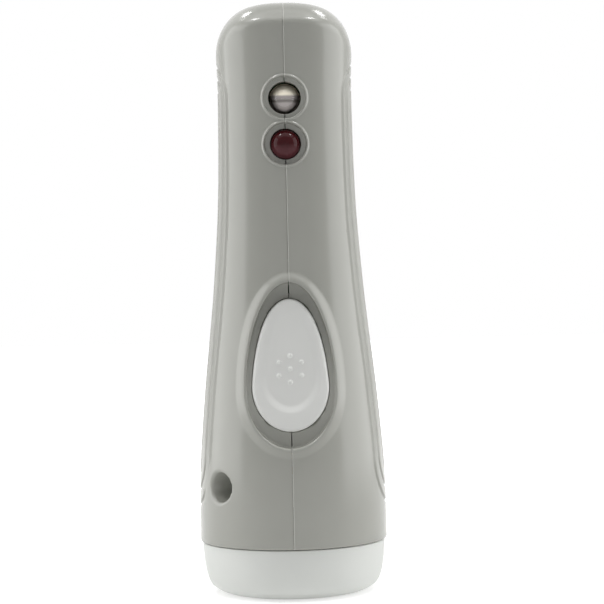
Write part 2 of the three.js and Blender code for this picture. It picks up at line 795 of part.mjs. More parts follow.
// The head ring with the lens, its seal, the reflector and the lamp board, stacked from the face inwards.
function addHead(group) {
  const ringTop = seamHeight - seatGap / 2;
  const fillet = new THREE.QuadraticBezierCurve(
    new THREE.Vector2(ringRimRadius, 0),
    new THREE.Vector2(ringFaceRadius - ringFilletInset, 0),
    new THREE.Vector2(ringFaceRadius, ringFilletTop),
  );
  const outline = [
    [ringOpening, 0],
    ...fillet.getPoints(filletSteps).map((point) => [point.x, point.y]),
    [ringRadius, ringTop],
    [neckOuterRadius + seatGap, ringTop],
    [neckOuterRadius + seatGap, ringLip],
    [ringOpening, ringLip],
    [ringOpening, 0],
  ];
  group.add(named("head_ring", turned(outline, largeSides), plastic(whiteColour, 0.3)));

  const lensLow = ringLip + runningGap;
  const lensTop = lensLow + lensThickness;
  group.add(named("lens", drum(neckOuterRadius, lensLow, lensTop, largeSides), plastic(0xe8eef0, 0.05)));
  const sealLow = lensTop + runningGap;
  const sealTop = sealLow + sealThickness;
  const seal = tube(neckOuterRadius - sealWidth, neckOuterRadius, sealLow, sealTop, largeSides);
  group.add(named("lens_seal", seal, plastic(blackColour, 0.8)));

  const flangeLow = sealTop + runningGap;
  const flangeTop = neckEnd - runningGap;
  const floorTop = flangeLow + reflectorDepth;
  const bowl = new THREE.QuadraticBezierCurve(
    new THREE.Vector2(reflectorRadius, flangeLow),
    new THREE.Vector2(reflectorRadius - reflectorWall, flangeLow + reflectorDepth / 2),
    new THREE.Vector2(reflectorFloorRadius, floorTop),
  ).getPoints(bowlSteps);
  const inner = bowl.map((point) => [point.x, point.y]);
  const outer = bowl.map((point) => [point.x + reflectorWall, point.y + reflectorWall / 2]);
  const reflectorProfile = [
    [reflectorRadius, flangeLow],
    [neckOuterRadius, flangeLow],
    [neckOuterRadius, flangeTop],
    [reflectorRadius + reflectorWall, flangeTop],
    ...outer.filter(([, height]) => height > flangeTop),
    [0, floorTop + reflectorWall],
    [0, floorTop],
    ...inner.reverse(),
  ];
  const ledPlaces = Array.from({ length: lampCount }, (_, i) => {
    const angle = Math.PI / 2 + (2 * Math.PI * i) / lampCount;
    return [lampRing * Math.cos(angle), lampRing * Math.sin(angle)];
  });
  const holes = ledPlaces.map(([x, y]) =>
    drum(smallLampRadius + seatGap, floorTop - overrun, floorTop + overrun, smallSides, atPlace(x, y, 0)),
  );
  const reflector = turned(reflectorProfile, largeSides).subtract(joined(holes));
  group.add(named("reflector", reflector, metal(0xdcdde0, 0.08)));

  const boardLow = floorTop + reflectorWall + seatGap + smallLampRim * 2;
  const board = drum(lampBoardRadius, boardLow, boardLow + boardThickness, mediumSides);
  group.add(named("lamp_board", board, plastic(0x2f6b3c, 0.5)));
  ledPlaces.forEach(([x, y], i) => {
    const base = boardLow - runningGap;
    const tip = base - smallLampLength;
    const crown = smallLampRadius * smallLampCrownShare;
    const lamp = turned(
      [
        [0, tip],
        [crown, tip + smallLampRadius - crown],
        [smallLampRadius, tip + smallLampRadius],
        [smallLampRadius, base - smallLampRim * 2],
        [smallLampRadius + smallLampRim, base - smallLampRim * 2],
        [smallLampRadius + smallLampRim, base],
        [0, base],
      ],
      smallSides,
      atPlace(x, y, 0),
    );
    group.add(named(`lamp_led_${i + 1}`, lamp, plastic(0xf2f4f4, 0.05)));
  });
}

// The button slides in the well floor and pushes the switch plunger.
function addButton(group) {
  const buttonGroup = new THREE.Group();
  buttonGroup.applyMatrix4(frontFrame);
  const flangeTop = -wellFloor - wellFloorThickness - seatGap;
  const flangeBottom = flangeTop - buttonFlangeThickness;
  const bottomEnd = buttonCentre - buttonLength / 2;
  const topEnd = buttonCentre + buttonLength / 2;
  const topFaceAt = (z) => halfDepthAt(z) + buttonProud;
  const egg = eggShape(buttonWidth, buttonLength, buttonCentre);
  const block = prism(egg, flangeBottom, bodyReach);
  const lean = Math.atan2(topFaceAt(topEnd) - topFaceAt(bottomEnd), topEnd - bottomEnd);
  const faceFrame = new THREE.Matrix4()
    .makeTranslation(0, bottomEnd, topFaceAt(bottomEnd) - buttonRim / 2)
    .multiply(new THREE.Matrix4().makeRotationX(lean));
  const above = blockBetween([-bodyReach, -bodyReach, 0], [bodyReach, 2 * bodyReach, bodyReach], faceFrame);
  const dishMiddle = buttonLength * buttonDishCentreShare;
  const dishHalfWidth = buttonWidth / 2 - buttonRim;
  const dishHalfLength = buttonLength / 2 - buttonRim - buttonDishDepth;
  const dishProfile = [[0, -buttonDishDepth]];
  for (let i = 1; i <= buttonDishSteps; i += 1) {
    const share = i / buttonDishSteps;
    dishProfile.push([dishHalfWidth * share, buttonDishDepth * (share ** 2 - 1)]);
  }
  dishProfile.push([dishHalfWidth, overrun], [0, overrun]);
  const stretch = new THREE.Matrix4().makeScale(1, dishHalfLength / dishHalfWidth, 1);
  const dishFrame = faceFrame.clone().multiply(atPlace(0, dishMiddle, 0)).multiply(stretch);
  const dish = turned(dishProfile, mediumSides, dishFrame);
  const flange = prism(
    eggShape(buttonWidth + 2 * buttonSkirt, buttonLength + 2 * buttonSkirt, buttonCentre),
    flangeBottom,
    flangeTop,
  );
  const dots = [[0, 0]];
  for (let i = 0; i < buttonDots; i += 1) {
    const angle = Math.PI / 2 + (2 * Math.PI * i) / buttonDots;
    dots.push([buttonDotRing * Math.cos(angle), buttonDotRing * Math.sin(angle)]);
  }
  const dotSolids = dots.map(([x, y]) =>
    turned(
      [
        [0, -buttonDishDepth - buttonDotRadius],
        [buttonDotRadius, -buttonDishDepth - buttonDotRadius],
        [buttonDotRadius, -buttonDishDepth],
        [0, -buttonDishDepth + buttonDotRise],
      ],
      tinySides,
      faceFrame.clone().multiply(atPlace(x, dishMiddle + y, 0)),
    ),
  );
  const plungerTop = -mainBoardFace + switchDepth + plungerLength;
  const stemPlace = atPlace(0, buttonCentre, 0);
  const stem = drum(buttonStemRadius, plungerTop + runningGap, flangeTop, smallSides, stemPlace);
  const cap = block.subtract(above).subtract(dish).add(joined(dotSolids)).add(flange).add(stem);
  buttonGroup.add(named("thumb_button", cap, plastic(0xd6d7d4, 0.4)));

  const boardTop = -mainBoardFace + runningGap;
  const switchTop = -mainBoardFace + switchDepth;
  const half = switchSize / 2;
  const collarHalf = switchCollarSize / 2;
  const plungerHalf = plungerSize / 2;
  const body = blockBetween(
    [-half, buttonCentre - half, boardTop],
    [half, buttonCentre + half, switchTop - switchCollarDepth],
  );
  const collar = blockBetween(
    [-collarHalf, buttonCentre - collarHalf, boardTop],
    [collarHalf, buttonCentre + collarHalf, switchTop],
  );
  const guideHalf = plungerHalf + runningGap;
  const guide = blockBetween(
    [-guideHalf, buttonCentre - guideHalf, boardTop + switchCollarDepth],
    [guideHalf, buttonCentre + guideHalf, bodyReach],
  );
  buttonGroup.add(named("push_switch", body.add(collar).subtract(guide), plastic(blackColour, 0.5)));
  const plungerLow = boardTop + switchCollarDepth + buttonTravel + runningGap;
  const plunger = blockBetween(
    [-plungerHalf, buttonCentre - plungerHalf, plungerLow],
    [plungerHalf, buttonCentre + plungerHalf, plungerTop],
  );
  buttonGroup.add(named("switch_plunger", plunger, plastic(0xe6e2d8, 0.5)));
  group.add(buttonGroup);
}

// Flat boards that slide into the rails, with what is soldered to them.
function addBoards(group) {
  const board = (half, bottom, top, face) =>
    blockBetween([-half, face, bottom], [half, face + boardThickness, top]);
  const boardGreen = plastic(0x2f6b3c, 0.5);
  const mainBoard = board(mainBoardHalf, mainBoardBottom, mainBoardTop, mainBoardFace);
  group.add(named("main_board", mainBoard, boardGreen));
  const tailBoard = board(tailBoardHalf, tailBoardBottom, tailBoardTop, tailBoardFace);
  group.add(named("tail_board", tailBoard, boardGreen.clone()));

  const capacitorLow = mainBoardTop - capacitorDrop;
  const capacitor = turned(
    [
      [0, capacitorLow],
      [capacitorRadius, capacitorLow],
      [capacitorRadius, capacitorLow + capacitorLength - capacitorCrown],
      [capacitorRadius - capacitorCrown, capacitorLow + capacitorLength],
      [0, capacitorLow + capacitorLength],
    ],
    smallSides,
    atPlace(-mainBoardHalf / 2, mainBoardFace + boardThickness + runningGap + capacitorRadius, 0),
  );
  group.add(named("filter_capacitor", capacitor, plastic(0x1d2a4a, 0.4)));
  const chipFace = mainBoardFace + boardThickness + runningGap;
  const chip = blockBetween(
    [mainBoardHalf / 3, chipFace, capacitorLow],
    [mainBoardHalf / 3 + chipWidth, chipFace + chipThickness, capacitorLow + chipLength],
  );
  group.add(named("charge_chip", chip, plastic(blackColour, 0.5)));

  const lamps = [
    { name: "red_led", height: redLampHeight, tip: redLampTip, material: plastic(0x4a0a12, 0.08) },
    { name: "clear_led", height: clearLampHeight, tip: clearLampTip, material: plastic(0xcfc9bd, 0.08) },
  ];
  lamps.forEach(({ name, height, tip, material }) => {
    const base = -tailBoardFace + runningGap + lampLegLength;
    const top = -tip;
    const dome = [];
    for (let i = 0; i < domeSteps; i += 1) {
      const angle = (Math.PI / 2) * (i / domeSteps);
      dome.push([lampRadius * Math.cos(angle), top - lampRadius + lampRadius * Math.sin(angle)]);
    }
    dome.push([0, top]);
    const flangeTop = base + lampFlangeThickness;
    const flange = [
      [0, base],
      [lampFlangeRadius, base],
      [lampFlangeRadius, flangeTop],
      [lampRadius, flangeTop],
    ];
    const body = turned([...flange, ...dome], mediumSides);
    const legs = [-1, 1].map((side) => {
      const x = (side * lampLegSpacing) / 2;
      const half = lampLegWidth / 2;
      return blockBetween([x - half, -half, base - lampLegLength], [x + half, half, base + half]);
    });
    const lamp = named(name, body.add(joined(legs)), material);
    lamp.applyMatrix4(frontFrame.clone().multiply(atPlace(0, height, 0)));
    group.add(lamp);
  });
}

// Three button cells in the handle, a stack between two spring tabs.
function addCells(group) {
  for (let i = 0; i < cellCount; i += 1) {
    const low = cellBottom + i * cellLength + runningGap / 2;
    const high = cellBottom + (i + 1) * cellLength - runningGap / 2;
    const cell = turned(
      [
        [0, low],
        [cellRadius, low],
        [cellRadius, high - cellButtonRise],
        [cellButtonRadius, high - cellButtonRise],
        [cellButtonRadius, high],
        [0, high],
      ],
      mediumSides,
      atPlace(0, cellOffset, 0),
    );
    group.add(named(`battery_cell_${i + 1}`, cell, metal(0xb9bcbe, 0.25)));
  }
  const top = cellBottom + cellCount * cellLength;
  const tabs = [
    ["cell_tab_lower", cellBottom - tabThickness],
    ["cell_tab_upper", top + runningGap / 2],
  ];
  tabs.forEach(([name, low]) => {
    const tab = drum(tabRadius, low, low + tabThickness, smallSides, atPlace(0, cellOffset, 0));
    group.add(named(name, tab, metal(0xc9c2a0, 0.3)));
  });
}

// A compound gear: a large wheel, a pinion above it and a hub that spaces both off the plates.
function compoundGear({ centre, wheel, pinion, wheelLow, wheelHigh, pinionHigh, hubLow, hubHigh }) {
  const solids = [prism(wheel, wheelLow, wheelHigh)];
  solids.push(prism(pinion, wheelHigh, pinionHigh));
  solids.push(drum(hubRadius, hubLow, hubHigh, smallSides));
  const bore = drum(pinRadius + runningGap, hubLow - overrun, hubHigh + overrun, smallSides);
  const gear = joined(solids).subtract(bore);
  return { gear, frame: atPlace(centre.x, centre.y, 0) };
}

function addGearbox(crank) {
  const { outline, corners } = plateOutline();
  const steel = () => metal(0xb4b6b8, 0.35);
  const pinHoles = [firstCentre, secondCentre];
  const plateHoles = (low, high) => [
    drum(shaftRadius + runningGap, low, high, smallSides),
    ...pinHoles.map(({ x, y }) => drum(pinRadius + runningGap / 2, low, high, tinySides, atPlace(x, y, 0))),
    ...corners.map(([x, y]) => drum(postRadius / 2 + runningGap, low, high, tinySides, atPlace(x, y, 0))),
  ];
  const plateShape = new THREE.Shape(outline);
  const bushHole = drum(bushFlangeRadius + seatGap, rearPlateTop - runningGap, overrun, mediumSides);
  const rearPlate = prism(plateShape, rearPlateBottom, rearPlateTop)
    .subtract(joined(plateHoles(rearPlateBottom - overrun, overrun)))
    .subtract(bushHole);
  crank.add(named("gearbox_rear_plate", rearPlate, steel()));
  const rotorPlace = atPlace(rotorCentre.x, rotorCentre.y, 0);
  const dynamoPad = drum(statorRadius, frontPlateBottom, frontPlateTop, mediumSides, rotorPlace);
  const rotorBore = rotorShaftRadius + runningGap;
  const rotorHole = drum(rotorBore, statorBottom, frontPlateTop + overrun, tinySides, rotorPlace);
  const frontPlate = prism(plateShape, frontPlateBottom, frontPlateTop)
    .add(dynamoPad)
    .subtract(joined(plateHoles(frontPlateBottom - overrun, overrun)))
    .subtract(rotorHole);
  crank.add(named("gearbox_front_plate", frontPlate, steel()));

  corners.forEach(([x, y], i) => {
    const low = frontPlateTop + runningGap / 2;
    const high = rearPlateBottom - runningGap / 2;
    const tenon = plateThickness - runningGap;
    const post = turned(
      [
        [0, low - tenon],
        [postRadius / 2, low - tenon],
        [postRadius / 2, low],
        [postRadius, low],
        [postRadius, high],
        [postRadius / 2, high],
        [postRadius / 2, high + tenon],
        [0, high + tenon],
      ],
      tinySides,
      atPlace(x, y, 0),
    );
    crank.add(named(`gearbox_post_${i + 1}`, post, metal(0xc8a860, 0.3)));
  });

  const pinLow = frontPlateBottom + runningGap;
  const pinHigh = rearPlateTop - runningGap;
  pinHoles.forEach(({ x, y }, i) => {
    const pin = drum(pinRadius, pinLow, pinHigh, tinySides, atPlace(x, y, 0));
    crank.add(named(`gear_pin_${i + 1}`, pin, steel()));
  });

  const crankWheel = prism(
    gearShape(crankTeeth, crankModule, wheelTipShare, 0, bearing(crankCentre, firstCentre)),
    crankLayerBottom,
    crankLayerTop,
  );
  const webInner = shaftRadius + hubWall;
  const webOuter = (crankTeeth * crankModule) / 2 - 2 * hubWall;
  const holes = Array.from({ length: wheelHoles }, (_, i) => {
    const angle = (2 * Math.PI * i) / wheelHoles;
    const holeRing = (webInner + webOuter) / 2;
    return drum(
      (webOuter - webInner) / 3,
      crankLayerBottom - overrun,
      crankLayerTop + overrun,
      tinySides,
      atPlace(holeRing * Math.cos(angle), holeRing * Math.sin(angle), 0),
    );
  });
  const hexOutline = new THREE.Shape(circlePath(hexRadius + runningGap, hexSides));
  const hexHole = prism(hexOutline, crankLayerBottom - overrun, overrun);
  const crankGear = crankWheel.subtract(joined(holes)).subtract(hexHole);
  crank.add(named("crank_gear", crankGear, plastic(0xe9e6da, 0.5)));

  const firstPhase = gapPhase(crankCentre, firstCentre, firstPinionTeeth);
  const secondPhase = gapPhase(firstCentre, secondCentre, secondPinionTeeth);
  const first = compoundGear({
    centre: firstCentre,
    wheel: gearShape(firstTeeth, firstModule, wheelTipShare, 0, bearing(firstCentre, secondCentre)),
    pinion: gearShape(firstPinionTeeth, crankModule, pinionTipShare, 1, firstPhase),
    wheelLow: firstLayerBottom,
    wheelHigh: firstLayerTop,
    pinionHigh: crankLayerTop,
    hubLow: frontPlateTop + runningGap,
    hubHigh: rearPlateBottom - runningGap,
  });
  const firstMesh = named("compound_gear_1", first.gear, plastic(0xe9e6da, 0.5));
  firstMesh.applyMatrix4(first.frame);
  crank.add(firstMesh);
  const second = compoundGear({
    centre: secondCentre,
    wheel: gearShape(secondTeeth, secondModule, wheelTipShare, 0, bearing(secondCentre, rotorCentre)),
    pinion: gearShape(secondPinionTeeth, firstModule, pinionTipShare, 1, secondPhase),
    wheelLow: secondLayerBottom,
    wheelHigh: secondLayerTop,
    pinionHigh: firstLayerTop,
    hubLow: frontPlateTop + runningGap,
    hubHigh: rearPlateBottom - runningGap,
  });
  const secondMesh = named("compound_gear_2", second.gear, plastic(0xd8dfe6, 0.5));
  secondMesh.applyMatrix4(second.frame);
  crank.add(secondMesh);
}

// One cup of the stator: a disc with claw poles that stand up between the other cup's claws.
function clawCup(discLow, discHigh, clawEnd, turn) {
  const pitch = (2 * Math.PI) / clawPairs;
  const disc = tube(statorBore, statorRadius, discLow, discHigh, mediumSides);
  const claws = Array.from({ length: clawPairs }, (_, i) => {
    const middle = turn + pitch * i;
    const arc = (radius, share) =>
      [-1, 1].map((side) => {
        const angle = middle + (side * pitch * share) / 4;
        return new THREE.Vector2(radius * Math.cos(angle), radius * Math.sin(angle));
      });
    const [a, b] = arc(statorBore, clawArcShare);
    const [d, c] = arc(statorBore + statorSheet, clawArcShare);
    const shape = new THREE.Shape([a, d, c, b]);
    return prism(shape, Math.min(discLow, clawEnd), Math.max(discHigh, clawEnd));
  });
  return joined([disc, ...claws]);
}

function addDynamo(crank) {
  const dynamo = new THREE.Group();
  dynamo.position.set(rotorCentre.x, rotorCentre.y, 0);
  const lowCup = statorBottom + statorSheet;
  const rearDiscLow = statorTop - statorSheet;
  const frontCup = clawCup(statorBottom, lowCup, lowCup + clawLength, 0);
  const canTop = rearDiscLow - runningGap;
  const canWall = tube(statorRadius - statorSheet, statorRadius, statorBottom, canTop, mediumSides);
  const discBore = rotorBushRadius + runningGap;
  const endDisc = tube(discBore, statorBore + statorSheet, statorBottom, lowCup, mediumSides);
  dynamo.add(named("stator_front_cup", joined([frontCup, canWall, endDisc]), metal(0xa9abad, 0.4)));
  const rearCup = clawCup(rearDiscLow, statorTop, rearDiscLow - clawLength, Math.PI / clawPairs);
  dynamo.add(named("stator_rear_cup", rearCup, metal(0xa9abad, 0.4)));

  const coilInner = statorBore + statorSheet + seatGap;
  const coilOuter = statorRadius - statorSheet - seatGap;
  const coilLow = lowCup + seatGap;
  const coilHigh = rearDiscLow - seatGap;
  const core = coilInner + bobbinWall;
  const bobbin = turned(
    [
      [coilInner, coilLow],
      [coilOuter, coilLow],
      [coilOuter, coilLow + bobbinWall],
      [core, coilLow + bobbinWall],
      [core, coilHigh - bobbinWall],
      [coilOuter, coilHigh - bobbinWall],
      [coilOuter, coilHigh],
      [coilInner, coilHigh],
      [coilInner, coilLow],
    ],
    mediumSides,
  );
  dynamo.add(named("coil_bobbin", bobbin, plastic(0x2b2b2e, 0.5)));
  const winding = tube(
    core + runningGap / 2,
    coilOuter - runningGap,
    coilLow + bobbinWall + runningGap,
    coilHigh - bobbinWall - runningGap,
    mediumSides,
  );
  dynamo.add(named("coil_winding", winding, metal(0xb5662a, 0.35)));

  const magnetMiddle = (statorTop + statorBottom) / 2;
  const magnetLow = magnetMiddle - magnetLength / 2;
  const magnetHigh = magnetMiddle + magnetLength / 2;
  const magnet = tube(rotorShaftRadius + runningGap / 2, magnetRadius, magnetLow, magnetHigh, mediumSides);
  dynamo.add(named("rotor_magnet", magnet, metal(0x4a4c50, 0.5)));
  const bearingLow = statorBottom - runningGap;
  const bearingHigh = magnetLow - seatGap;
  const bearingBush = turned(
    [
      [rotorShaftRadius + runningGap, bearingLow],
      [rotorBushRadius, bearingLow],
      [rotorBushRadius, bearingHigh],
      [rotorShaftRadius + runningGap, bearingHigh],
      [rotorShaftRadius + runningGap, bearingLow],
    ],
    smallSides,
  );
  dynamo.add(named("rotor_bush", bearingBush, metal(0xc8a860, 0.3)));
  const pinionHigh = secondLayerTop;
  const shaft = drum(rotorShaftRadius, bearingLow + runningGap, pinionHigh, tinySides);
  dynamo.add(named("rotor_shaft", shaft, metal(0xd0d2d4, 0.2)));
  const pinionPhase = gapPhase(secondCentre, rotorCentre, rotorPinionTeeth);
  const pinionBody = prism(
    gearShape(rotorPinionTeeth, secondModule, pinionTipShare, 1, pinionPhase),
    pinionHigh - rotorPinionLength,
    pinionHigh,
  ).subtract(drum(rotorShaftRadius + runningGap / 2, statorBottom, overrun, tinySides));
  dynamo.add(named("rotor_pinion", pinionBody, metal(0xc8a860, 0.3)));
  crank.add(dynamo);
}

// The hull of two circles, as an outline.
function armShape(inset) {
  const spread = Math.asin((armHubRadius - armTipRadius) / armTipCentre);
  const steps = smallSides;
  const points = [];
  for (let i = 0; i <= steps; i += 1) {
    const angle = spread + ((Math.PI - 2 * spread) * i) / steps;
    const radius = armTipRadius - inset;
    points.push(new THREE.Vector2(radius * Math.cos(angle), armTipCentre + radius * Math.sin(angle)));
  }
  for (let i = 0; i <= steps; i += 1) {
    const angle = Math.PI - spread + ((Math.PI + 2 * spread) * i) / steps;
    const radius = armHubRadius - inset;
    points.push(new THREE.Vector2(radius * Math.cos(angle), radius * Math.sin(angle)));
  }
  return new THREE.Shape(points);
}

function slotShape(half, start, end) {
  return new THREE.Shape([
    new THREE.Vector2(-half, start + armPocketCorner),
    new THREE.Vector2(-half + armPocketCorner, start),
    new THREE.Vector2(half - armPocketCorner, start),
    new THREE.Vector2(half, start + armPocketCorner),
    new THREE.Vector2(half, end),
    new THREE.Vector2(-half, end),
  ]);
}

function addCrank(crank) {
  const hingeFrame = atPlace(0, knobHinge, knobRise).multiply(acrossFrame);
  const hexTop = armTop + armHubRise - armScrewRecessDepth - armScrewWeb - runningGap;
  const shaftLow = frontPlateBottom - seatGap;
  const hex = prism(new THREE.Shape(circlePath(hexRadius, hexSides)), shaftLow + shaftRadius / 2, hexTop);
  const journalTop = armBottom - runningGap;
  const journal = drum(shaftRadius, crankLayerTop + seatGap, journalTop, smallSides);
  const tail = drum(shaftRadius, shaftLow, crankLayerBottom - seatGap, smallSides);
  const screwHole = drum(screwShankRadius + runningGap, hexTop - crankScrewLength, overrun, tinySides);
  crank.add(named("drive_shaft", joined([hex, journal, tail]).subtract(screwHole), metal(0xbfc1c3, 0.3)));

  const bushTop = armBottom - seatGap;
  const flangeTop = -shellWall - runningGap;
  const bush = turned(
    [
      [shaftRadius + runningGap, flangeTop - bushFlangeThickness],
      [bushFlangeRadius, flangeTop - bushFlangeThickness],
      [bushFlangeRadius, flangeTop],
      [bushRadius, flangeTop],
      [bushRadius, bushTop],
      [shaftRadius + runningGap, bushTop],
      [shaftRadius + runningGap, flangeTop - bushFlangeThickness],
    ],
    mediumSides,
  );
  crank.add(named("shaft_bush", bush, metal(0xc8a860, 0.3)));

  const blank = prism(armShape(0), armBottom, armTop - armChamfer);
  const crown = prism(armShape(armChamfer), armTop - armChamfer, armTop);
  const boss = drum(armHubRadius - 2 * armChamfer, armTop - armChamfer, armTop + armHubRise, mediumSides);
  const pocket = prism(slotShape(armPocketHalf, armPocketStart, armPocketEnd), -overrun, armTop + overrun);
  const hexOutline = new THREE.Shape(circlePath(hexRadius + runningGap, hexSides));
  const hexHole = prism(hexOutline, -overrun, hexTop + runningGap);
  const screwThrough = drum(screwShankRadius + seatGap, -overrun, armTop + overrun, tinySides);
  const recessFloor = armTop + armHubRise - armScrewRecessDepth;
  const recess = drum(armScrewRecessRadius, recessFloor, armTop + overrun, smallSides);
  const boreLow = -armTipRadius + armChamfer;
  const pinBore = drum(hingePinRadius + runningGap, boreLow, armTipRadius + overrun, tinySides, hingeFrame);
  const ears = [-1, 1].map((side) => {
    const half = armTipRadius - armChamfer;
    const [low, high] = side < 0 ? [-half, -armPocketHalf] : [armPocketHalf, half];
    return drum(pivotBarrelRadius, low, high, smallSides, hingeFrame);
  });
  const arm = joined([blank, crown, boss, ...ears])
    .subtract(joined([pocket, hexHole, screwThrough, recess, pinBore]));
  crank.add(named("crank_arm", arm, plastic(bodyColour, 0.35)));

  const screwShape = panScrew(screwHeadRadius, screwHeadThickness, screwShankRadius, crankScrewLength);
  const screw = named("crank_screw", screwShape, metal(0x9a9a98));
  const headSeat = recessFloor + runningGap;
  const upsideDown = new THREE.Matrix4().makeRotationX(Math.PI);
  screw.applyMatrix4(atPlace(0, 0, headSeat - crankScrewLength).multiply(upsideDown));
  crank.add(screw);

  const pinHalf = armTipRadius - armChamfer / 2;
  const pin = drum(hingePinRadius, -pinHalf + armChamfer, pinHalf, tinySides);
  const pinMesh = named("knob_hinge_pin", pin, metal(0xbfc1c3, 0.25));
  pinMesh.applyMatrix4(hingeFrame);
  crank.add(pinMesh);
  addKnob(crank);
}

// The knob folds into the arm: its local Z runs from the hinge towards the hub, where the knob lies at rest.
function addKnob(crank) {
  const knob = new THREE.Group();
  knob.position.set(0, knobHinge, knobRise);
  knob.rotation.x = Math.PI / 2;
  const barrel = drum(pivotBarrelRadius, -pivotHalfWidth, pivotHalfWidth, smallSides, acrossFrame);
  const shoulder = drum(knobRadius - armChamfer, armChamfer, pivotLength, mediumSides);
  const cheeks = blockBetween(
    [-pivotHalfWidth, -pivotBarrelRadius, 0],
    [pivotHalfWidth, pivotBarrelRadius, pivotLength],
  );
  const pinReach = pivotHalfWidth + overrun;
  const pinHole = drum(hingePinRadius + runningGap, -pinReach, pinReach, tinySides, acrossFrame);
  const knobLow = pivotLength + seatGap;
  const knobHigh = knobLow + knobLength;
  const rootLow = pivotBarrelRadius / 2 + hingePinRadius;
  const spindleHole = drum(spindleRadius - runningGap, rootLow, knobLow + overrun, tinySides);
  const pivot = joined([barrel, shoulder.intersect(cheeks)]).subtract(pinHole).subtract(spindleHole);
  knob.add(named("knob_pivot", pivot, plastic(0x8d8e88, 0.35)));

  const headLow = knobHigh - knobCounterDepth + runningGap;
  const spindle = turned(
    [
      [0, pivotLength + runningGap],
      [spindleRadius, pivotLength + runningGap],
      [spindleRadius, headLow],
      [spindleHeadRadius, headLow],
      [spindleHeadRadius, headLow + spindleHeadLength / 2],
      [spindleHeadRadius / 2, headLow + spindleHeadLength],
      [0, headLow + spindleHeadLength],
    ],
    smallSides,
  );
  const root = drum(spindleRadius - 2 * runningGap, rootLow + runningGap, knobLow + overrun, tinySides);
  knob.add(named("knob_spindle", spindle.add(root), metal(0xbfc1c3, 0.25)));

  const sides = knobFlutes * knobFlutePoints;
  const fluted = [];
  for (let i = 0; i < sides; i += 1) {
    const angle = (2 * Math.PI * i) / sides;
    const radius = i % knobFlutePoints === 0 ? knobRadius - knobFluteDepth : knobRadius;
    fluted.push(new THREE.Vector2(radius * Math.cos(angle), radius * Math.sin(angle)));
  }
  const grip = prism(new THREE.Shape(fluted), knobLow + armChamfer, knobHigh - armChamfer);
  const ends = drum(knobRadius - armChamfer, knobLow, knobHigh, mediumSides);
  const bore = drum(knobBoreRadius, 0, knobHigh + overrun, smallSides);
  const counter = drum(knobCounterRadius, knobHigh - knobCounterDepth, knobHigh + overrun, smallSides);
  knob.add(named("crank_knob", grip.add(ends).subtract(bore).subtract(counter), plastic(0x8d8e88, 0.35)));
  crank.add(knob);
}

const flashlight = new THREE.Group();
addShells(flashlight);
addHead(flashlight);
addButton(flashlight);
addBoards(flashlight);
addCells(flashlight);
const crankAssembly = new THREE.Group();
crankAssembly.applyMatrix4(crankFrame);
addGearbox(crankAssembly);
addDynamo(crankAssembly);
addCrank(crankAssembly);
flashlight.add(crankAssembly);

export default flashlight;
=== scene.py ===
"""The looks of a hand crank flashlight that stands on its lamp head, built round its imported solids.

Moulded pieces are meshed from distance fields in millimetres, negative inside, whose smooth_max, smooth_min
and cut take the rounding of an edge as their last value. Turned pieces are revolved.
"""
import math

import bmesh
import bpy
import numpy as np
import openvdb
from mathutils import Matrix, Vector


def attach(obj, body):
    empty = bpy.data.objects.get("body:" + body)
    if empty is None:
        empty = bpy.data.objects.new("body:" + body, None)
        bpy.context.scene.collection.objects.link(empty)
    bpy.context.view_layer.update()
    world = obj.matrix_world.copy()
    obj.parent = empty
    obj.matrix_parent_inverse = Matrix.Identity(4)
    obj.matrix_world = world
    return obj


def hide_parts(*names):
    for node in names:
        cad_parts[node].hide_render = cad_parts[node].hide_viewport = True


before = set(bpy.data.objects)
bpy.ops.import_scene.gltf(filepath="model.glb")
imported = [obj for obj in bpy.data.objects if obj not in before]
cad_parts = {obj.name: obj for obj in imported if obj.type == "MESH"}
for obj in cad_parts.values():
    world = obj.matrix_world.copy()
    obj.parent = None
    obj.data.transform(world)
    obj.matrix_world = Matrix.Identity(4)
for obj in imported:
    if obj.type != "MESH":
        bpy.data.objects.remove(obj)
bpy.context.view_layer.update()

MM = 0.001
TINY = 1e-9

# The body: its length, its half width and depth as shares of the head's radius by share of the length, and
# how far its sections go from a circle towards a square.
BODY_LENGTH = 156
HEAD_RADIUS = 24.6
SHELL_WALL = 2
SEAM_HEIGHT = 13.5
PROFILE_SHARES = (
    (0.0865, 1.002), (0.1, 1.004), (0.151, 1.004), (0.203, 0.996), (0.253, 0.977), (0.304, 0.946),
    (0.356, 0.917), (0.407, 0.88), (0.458, 0.844), (0.509, 0.811), (0.56, 0.786), (0.612, 0.76),
    (0.662, 0.743), (0.713, 0.733), (0.765, 0.727), (0.816, 0.7245), (0.845, 0.7205), (0.876, 0.7205),
    (0.893, 0.7285), (0.9115, 0.739), (1, 0.739),
)
DEPTH_SHARES = ((0.15, 1), (0.6, 0.975), (1, 0.965))
SQUARENESS_SHARES = ((0.15, 1), (0.7, 1.09), (1, 1.09))

# The tail: a cone that bevels its front, and a roof that falls to the sides, the front and the back.
CROWN_HEIGHT = 149.0
CROWN_WIDE = 16.3
CROWN_DEEP = 20.3
CROWN_SETBACK = 3
CROWN_POWER = 2.4
CROWN_SLOPE = 0.81
ROOF_HEIGHT = 155.7
ROOF_SIDE_DROP = 0.0055
ROOF_SIDE_POWER = 2.4
ROOF_PEAK = 4
ROOF_DEPTH_DROP = 0.0075
ROOF_EDGE = 2
TAIL_EDGE = 3
TAIL_EDGE_BACK = 3.5
TAIL_EDGE_CRISP = 2.4

